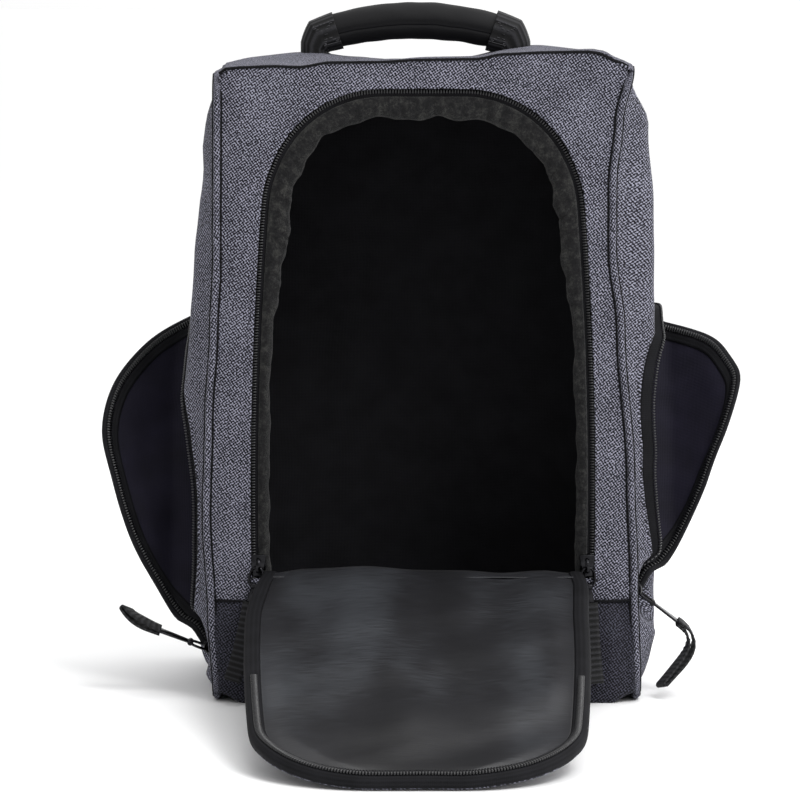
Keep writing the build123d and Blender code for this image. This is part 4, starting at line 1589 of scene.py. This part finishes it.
# %% [markdown]
# ## Placing the pulls
# A pull's ring turns on the slider's bridge and its tab on the ring, so both joint axes are
# known from the frame. The webbing loop is one strip folded double. It carries on from the
# tab along a short curve, stiff near the metal and free at its end.


# %% Placing the pulls
def joint_of(name):
    return next(j for j in frame["joints"] if j["name"] == name)


webbing_width = 10.0


def webbing_loop(name, curve, width_direction, body, node):
    """A folded strip along a curve of mm points: down one face, round the end and back."""
    points = [Vector(p) for p in curve]
    lengths = [0.0]
    for a, b in zip(points, points[1:]):
        lengths.append(lengths[-1] + (b - a).length)
    total = lengths[-1]

    def at(distance):
        distance = min(max(distance, 0), total - 1e-4)
        for index in range(len(points) - 1):
            if distance <= lengths[index + 1]:
                part = (distance - lengths[index]) / (lengths[index + 1] - lengths[index])
                ahead = (points[min(index + 2, len(points) - 1)] - points[index]).normalized()
                return points[index].lerp(points[index + 1], part), ahead
        return points[-1], (points[-1] - points[-2]).normalized()

    half_thick = 1.15
    face_share = 0.46
    face_length = total * 0.97

    def place(u, v):
        side = (u - 0.5) * webbing_width
        if v < face_share:
            distance, lift = face_length * v / face_share, half_thick
        elif v > 1 - face_share:
            distance, lift = face_length * (1 - v) / face_share, -half_thick
        else:
            turn = (v - face_share) / (1 - 2 * face_share) * math.pi
            distance = face_length + 1.3 * math.sin(turn)
            lift = half_thick * math.cos(turn)
        point, ahead = at(distance)
        wide = (Vector(width_direction) - ahead * ahead.dot(Vector(width_direction))).normalized()
        off = ahead.cross(wide)
        belly = 1 + 0.5 * math.sin(math.pi * min(distance / total, 1)) ** 2
        return point + wide * side + off * lift * belly

    piece = cloth(name, webbing, 6, 60, place, lambda u, v, p: (u * webbing_width, v * total * 2),
                  thickness=1.3, offset=0)
    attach(piece, body)
    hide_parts(node)
    return piece


def bent(start, direction, length, pull, steps=14):
    """A curve that leaves start along direction and is drawn towards pull as it goes."""
    points = [Vector(start)]
    heading = Vector(direction).normalized()
    for step in range(steps):
        heading = (heading + Vector(pull) * (step / steps) * 0.2).normalized()
        points.append(points[-1] + heading * length / steps)
    return points


webbing_loops = []
# each pull: its tab, the tab's length, the webbing's length, and the way the webbing is drawn
pulls = {"left_main": (short_tab, short_tab_length, 46.0, (-0.12, -0.3, 0.0)),
         "right_main": (short_tab, short_tab_length, 46.0, (0.05, -0.35, 0.0)),
         "left_pocket": (long_tab, long_tab_length, 25.0, (0.1, 0.7, 0.35)),
         "right_pocket": (long_tab, long_tab_length, 48.0, (-6.0, -4.0, -6.0))}
lowest_webbing = 2.0
for name, (tab_shape, tab_length, webbing_length, drawn) in pulls.items():
    slide = joint_of(name + "_zip")
    ring_joint = joint_of(name + "_ring_swing")
    tab_joint = joint_of(name + "_pull_swing")
    along = Vector(slide["axis"])
    across = -Vector(ring_joint["axis"])
    across = (across - along * across.dot(along)).normalized()
    outward = across.cross(along)
    bridge = Vector(ring_joint["pos_m"]) / MM
    knuckle = Vector(tab_joint["pos_m"]) / MM
    hang = (knuckle - bridge).normalized()
    plate = bridge + along * 1.2 - outward * 2.7
    slider = row_of(name + "_slider_casting", plated, slider_shape, [turned(plate, along, outward)])
    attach(slider, name + "_runner")
    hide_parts(name + "_slider")
    ring_across = Vector(ring_joint["axis"]).normalized()
    centre = (bridge + knuckle) / 2
    oval = []
    for step in range(36):
        turn = 2 * math.pi * step / 36
        wide = math.copysign(abs(math.cos(turn)) ** 0.8, math.cos(turn)) * 3.9
        long = math.copysign(abs(math.sin(turn)) ** 0.8, math.sin(turn)) * 5.3
        oval.append(tuple(centre + ring_across * wide + hang * long))
    ring = tube(name + "_oval_ring", plated, oval, 0.8, sides=10, closed=True)
    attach(ring, name + "_ring")
    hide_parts(name + "_link")
    face = ring_across.cross(hang) * (1 if ring_across.cross(hang).dot(outward) > 0 else -1)
    tab = row_of(name + "_metal_tab", plated, tab_shape, [turned(knuckle, -hang, face)])
    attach(tab, name + "_pull")
    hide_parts(name + "_tab")
    curve = bent(knuckle + hang * (tab_length + 0.5), hang, webbing_length, drawn)
    if min(p.z for p in curve) < lowest_webbing:
        curve = [Vector((p.x + 0.01 * step, p.y, max(p.z, lowest_webbing))) for step, p in enumerate(curve)]
    webbing_loops.append(webbing_loop(name + "_webbing_loop", curve, ring_across, name + "_pull",
                                      name + "_webbing"))
print("pulls made")

# %% [markdown]
# ## Measured cuts of the cloth
# Each cut piece's size before it was sewn or hung is measured here and then not kept. Its UV map
# is in metres, so the cut size can be measured from the map itself. A sheet with a thickness has
# two layers of faces. A cloth cut as an arch is given as the long strip it is: up one side, across
# and down.


# %% Cloth cut sizes
def cut_size(piece, layers=2):
    """Width, length and area of a piece's flat cut, in metres, measured on its UV map."""
    data = piece.data.uv_layers.active.data
    across = [spot.uv.x for spot in data]
    along = [spot.uv.y for spot in data]
    area = 0.0
    for face in piece.data.polygons:
        corners = [data[index].uv for index in face.loop_indices]
        area += abs(sum(a.x * b.y - b.x * a.y for a, b in zip(corners, corners[1:] + corners[:1]))) / 2
    return max(across) - min(across), max(along) - min(along), area / layers


least_area_share = 0.3


def declare(piece, held, *rests_on):
    """Measures a sheet's cut as width and length in metres, and keeps nothing.

    held and rests_on, what it rests on or hangs from, are not used.
    """
    width, length, area = cut_size(piece)
    if area < least_area_share * width * length:
        length = 2 * length + width
        width = area / length
    width, length = round(width, 5), round(length, 5)


declare(front_cloth, "stretched", "back_foam")
declare(foot_strip, "stretched", "base_board")
declare(band_cloth, "stretched", "base_board")
declare(top_cloth, "stretched", "top_foam")
declare(back_cloth, "stretched", "back_foam")
declare(base_cloth, "stretched", "base_board")
declare(front_lining, "hung", "front_cloth")
for side, piece in side_cloths.items():
    declare(piece, "stretched", pockets[side]["word"] + "_side_foam")
for side, pair in lids.items():
    for piece in pair:
        declare(piece, "hung", pockets[side]["word"] + "_side_cloth")
declare(door_lining, "laid", "door_outer_cloth")
for piece in webbing_loops:
    declare(piece, "folded", piece.name.replace("_webbing_loop", "_metal_tab"))

for pattern in (tooth, stitch, slider_shape, short_tab, long_tab):
    bpy.data.objects.remove(pattern, do_unlink=True)

# %% [markdown]
# ## Camera, floor and light
# The object stands on a pale plain floor in soft studio light. The camera is far away with a
# long lens, a little above the handle, so that upright lines stay upright. The white sky is
# dimmer on the left than on the right, as beside a large window.

# %% Camera, floor and light
clear_selection()
bpy.ops.object.camera_add(location=(-0.013, front_y * MM - 2.400, 0.400),
                          rotation=(math.radians(90 - 5.38), 0, 0))
camera = bpy.context.active_object
camera.data.lens = 191.0
camera.data.sensor_width = 36.0
camera.data.clip_end = 500
bpy.context.scene.camera = camera

bpy.ops.mesh.primitive_plane_add(size=400, location=(0, 0, 0))
floor = bpy.context.active_object
floor.name = "studio_floor"
floor_finish, _, floor_shader = new_finish("pale studio floor", Roughness=0.6)
floor_shader.inputs["Base Color"].default_value = linear("#fbfbfb")
floor.data.materials.append(floor_finish)

world = bpy.data.worlds.new("studio")
bpy.context.scene.world = world
world.use_nodes = True
studio = world.node_tree
sky = studio.nodes["Background"]
sky.inputs["Color"].default_value = (1, 1, 1, 1)
direction = add(studio, "ShaderNodeSeparateXYZ", {},
                {"Vector": add(studio, "ShaderNodeTexCoord").outputs["Generated"]})
glow = add(studio, "ShaderNodeMapRange", {"From Min": -1.0, "From Max": 1.0, "To Min": 0.4, "To Max": 1.7},
           {"Value": direction.outputs["X"]})
link(studio, glow.outputs["Result"], sky, "Strength")


def soft_light(name, place, aim, size, watts):
    """A square soft box at a place, turned to face its aim."""
    bpy.ops.object.light_add(type="AREA", location=place)
    light = bpy.context.active_object
    light.name = name
    light.data.size = size
    light.data.energy = watts
    direction = Vector(aim) - Vector(place)
    light.rotation_euler = direction.to_track_quat("-Z", "Y").to_euler()


soft_light("key", (1.0, -1.5, 1.9), (0, 0, 0.2), 0.9, 34)
soft_light("top", (0.1, 0.1, 2.2), (0, 0, 0), 1.2, 14)
bpy.context.scene.view_settings.view_transform = "Standard"

# %% [markdown]
# ## Finish of the frame's own pieces
# Foam, board and the small stops keep their CAD shape, so they only take a finish.

# %% Finishes for carried-over nodes
foam_finish = plain_grain("open-cell foam", "#8f8f8c", "#b4b4b0", 1.2, 0.9, strength=0.5)
board_finish = plain_grain("grey board", "#3a3a3c", "#4a4a4c", 1.5, 0.8)
for node, finish in (("back_foam", foam_finish), ("top_foam", foam_finish), ("left_side_foam", foam_finish),
                     ("right_side_foam", foam_finish), ("base_board", board_finish),
                     ("zipper_end_stops", nylon_coil)):
    mesh = frame["nodes"][node].data
    mesh.materials.clear()
    mesh.materials.append(finish)
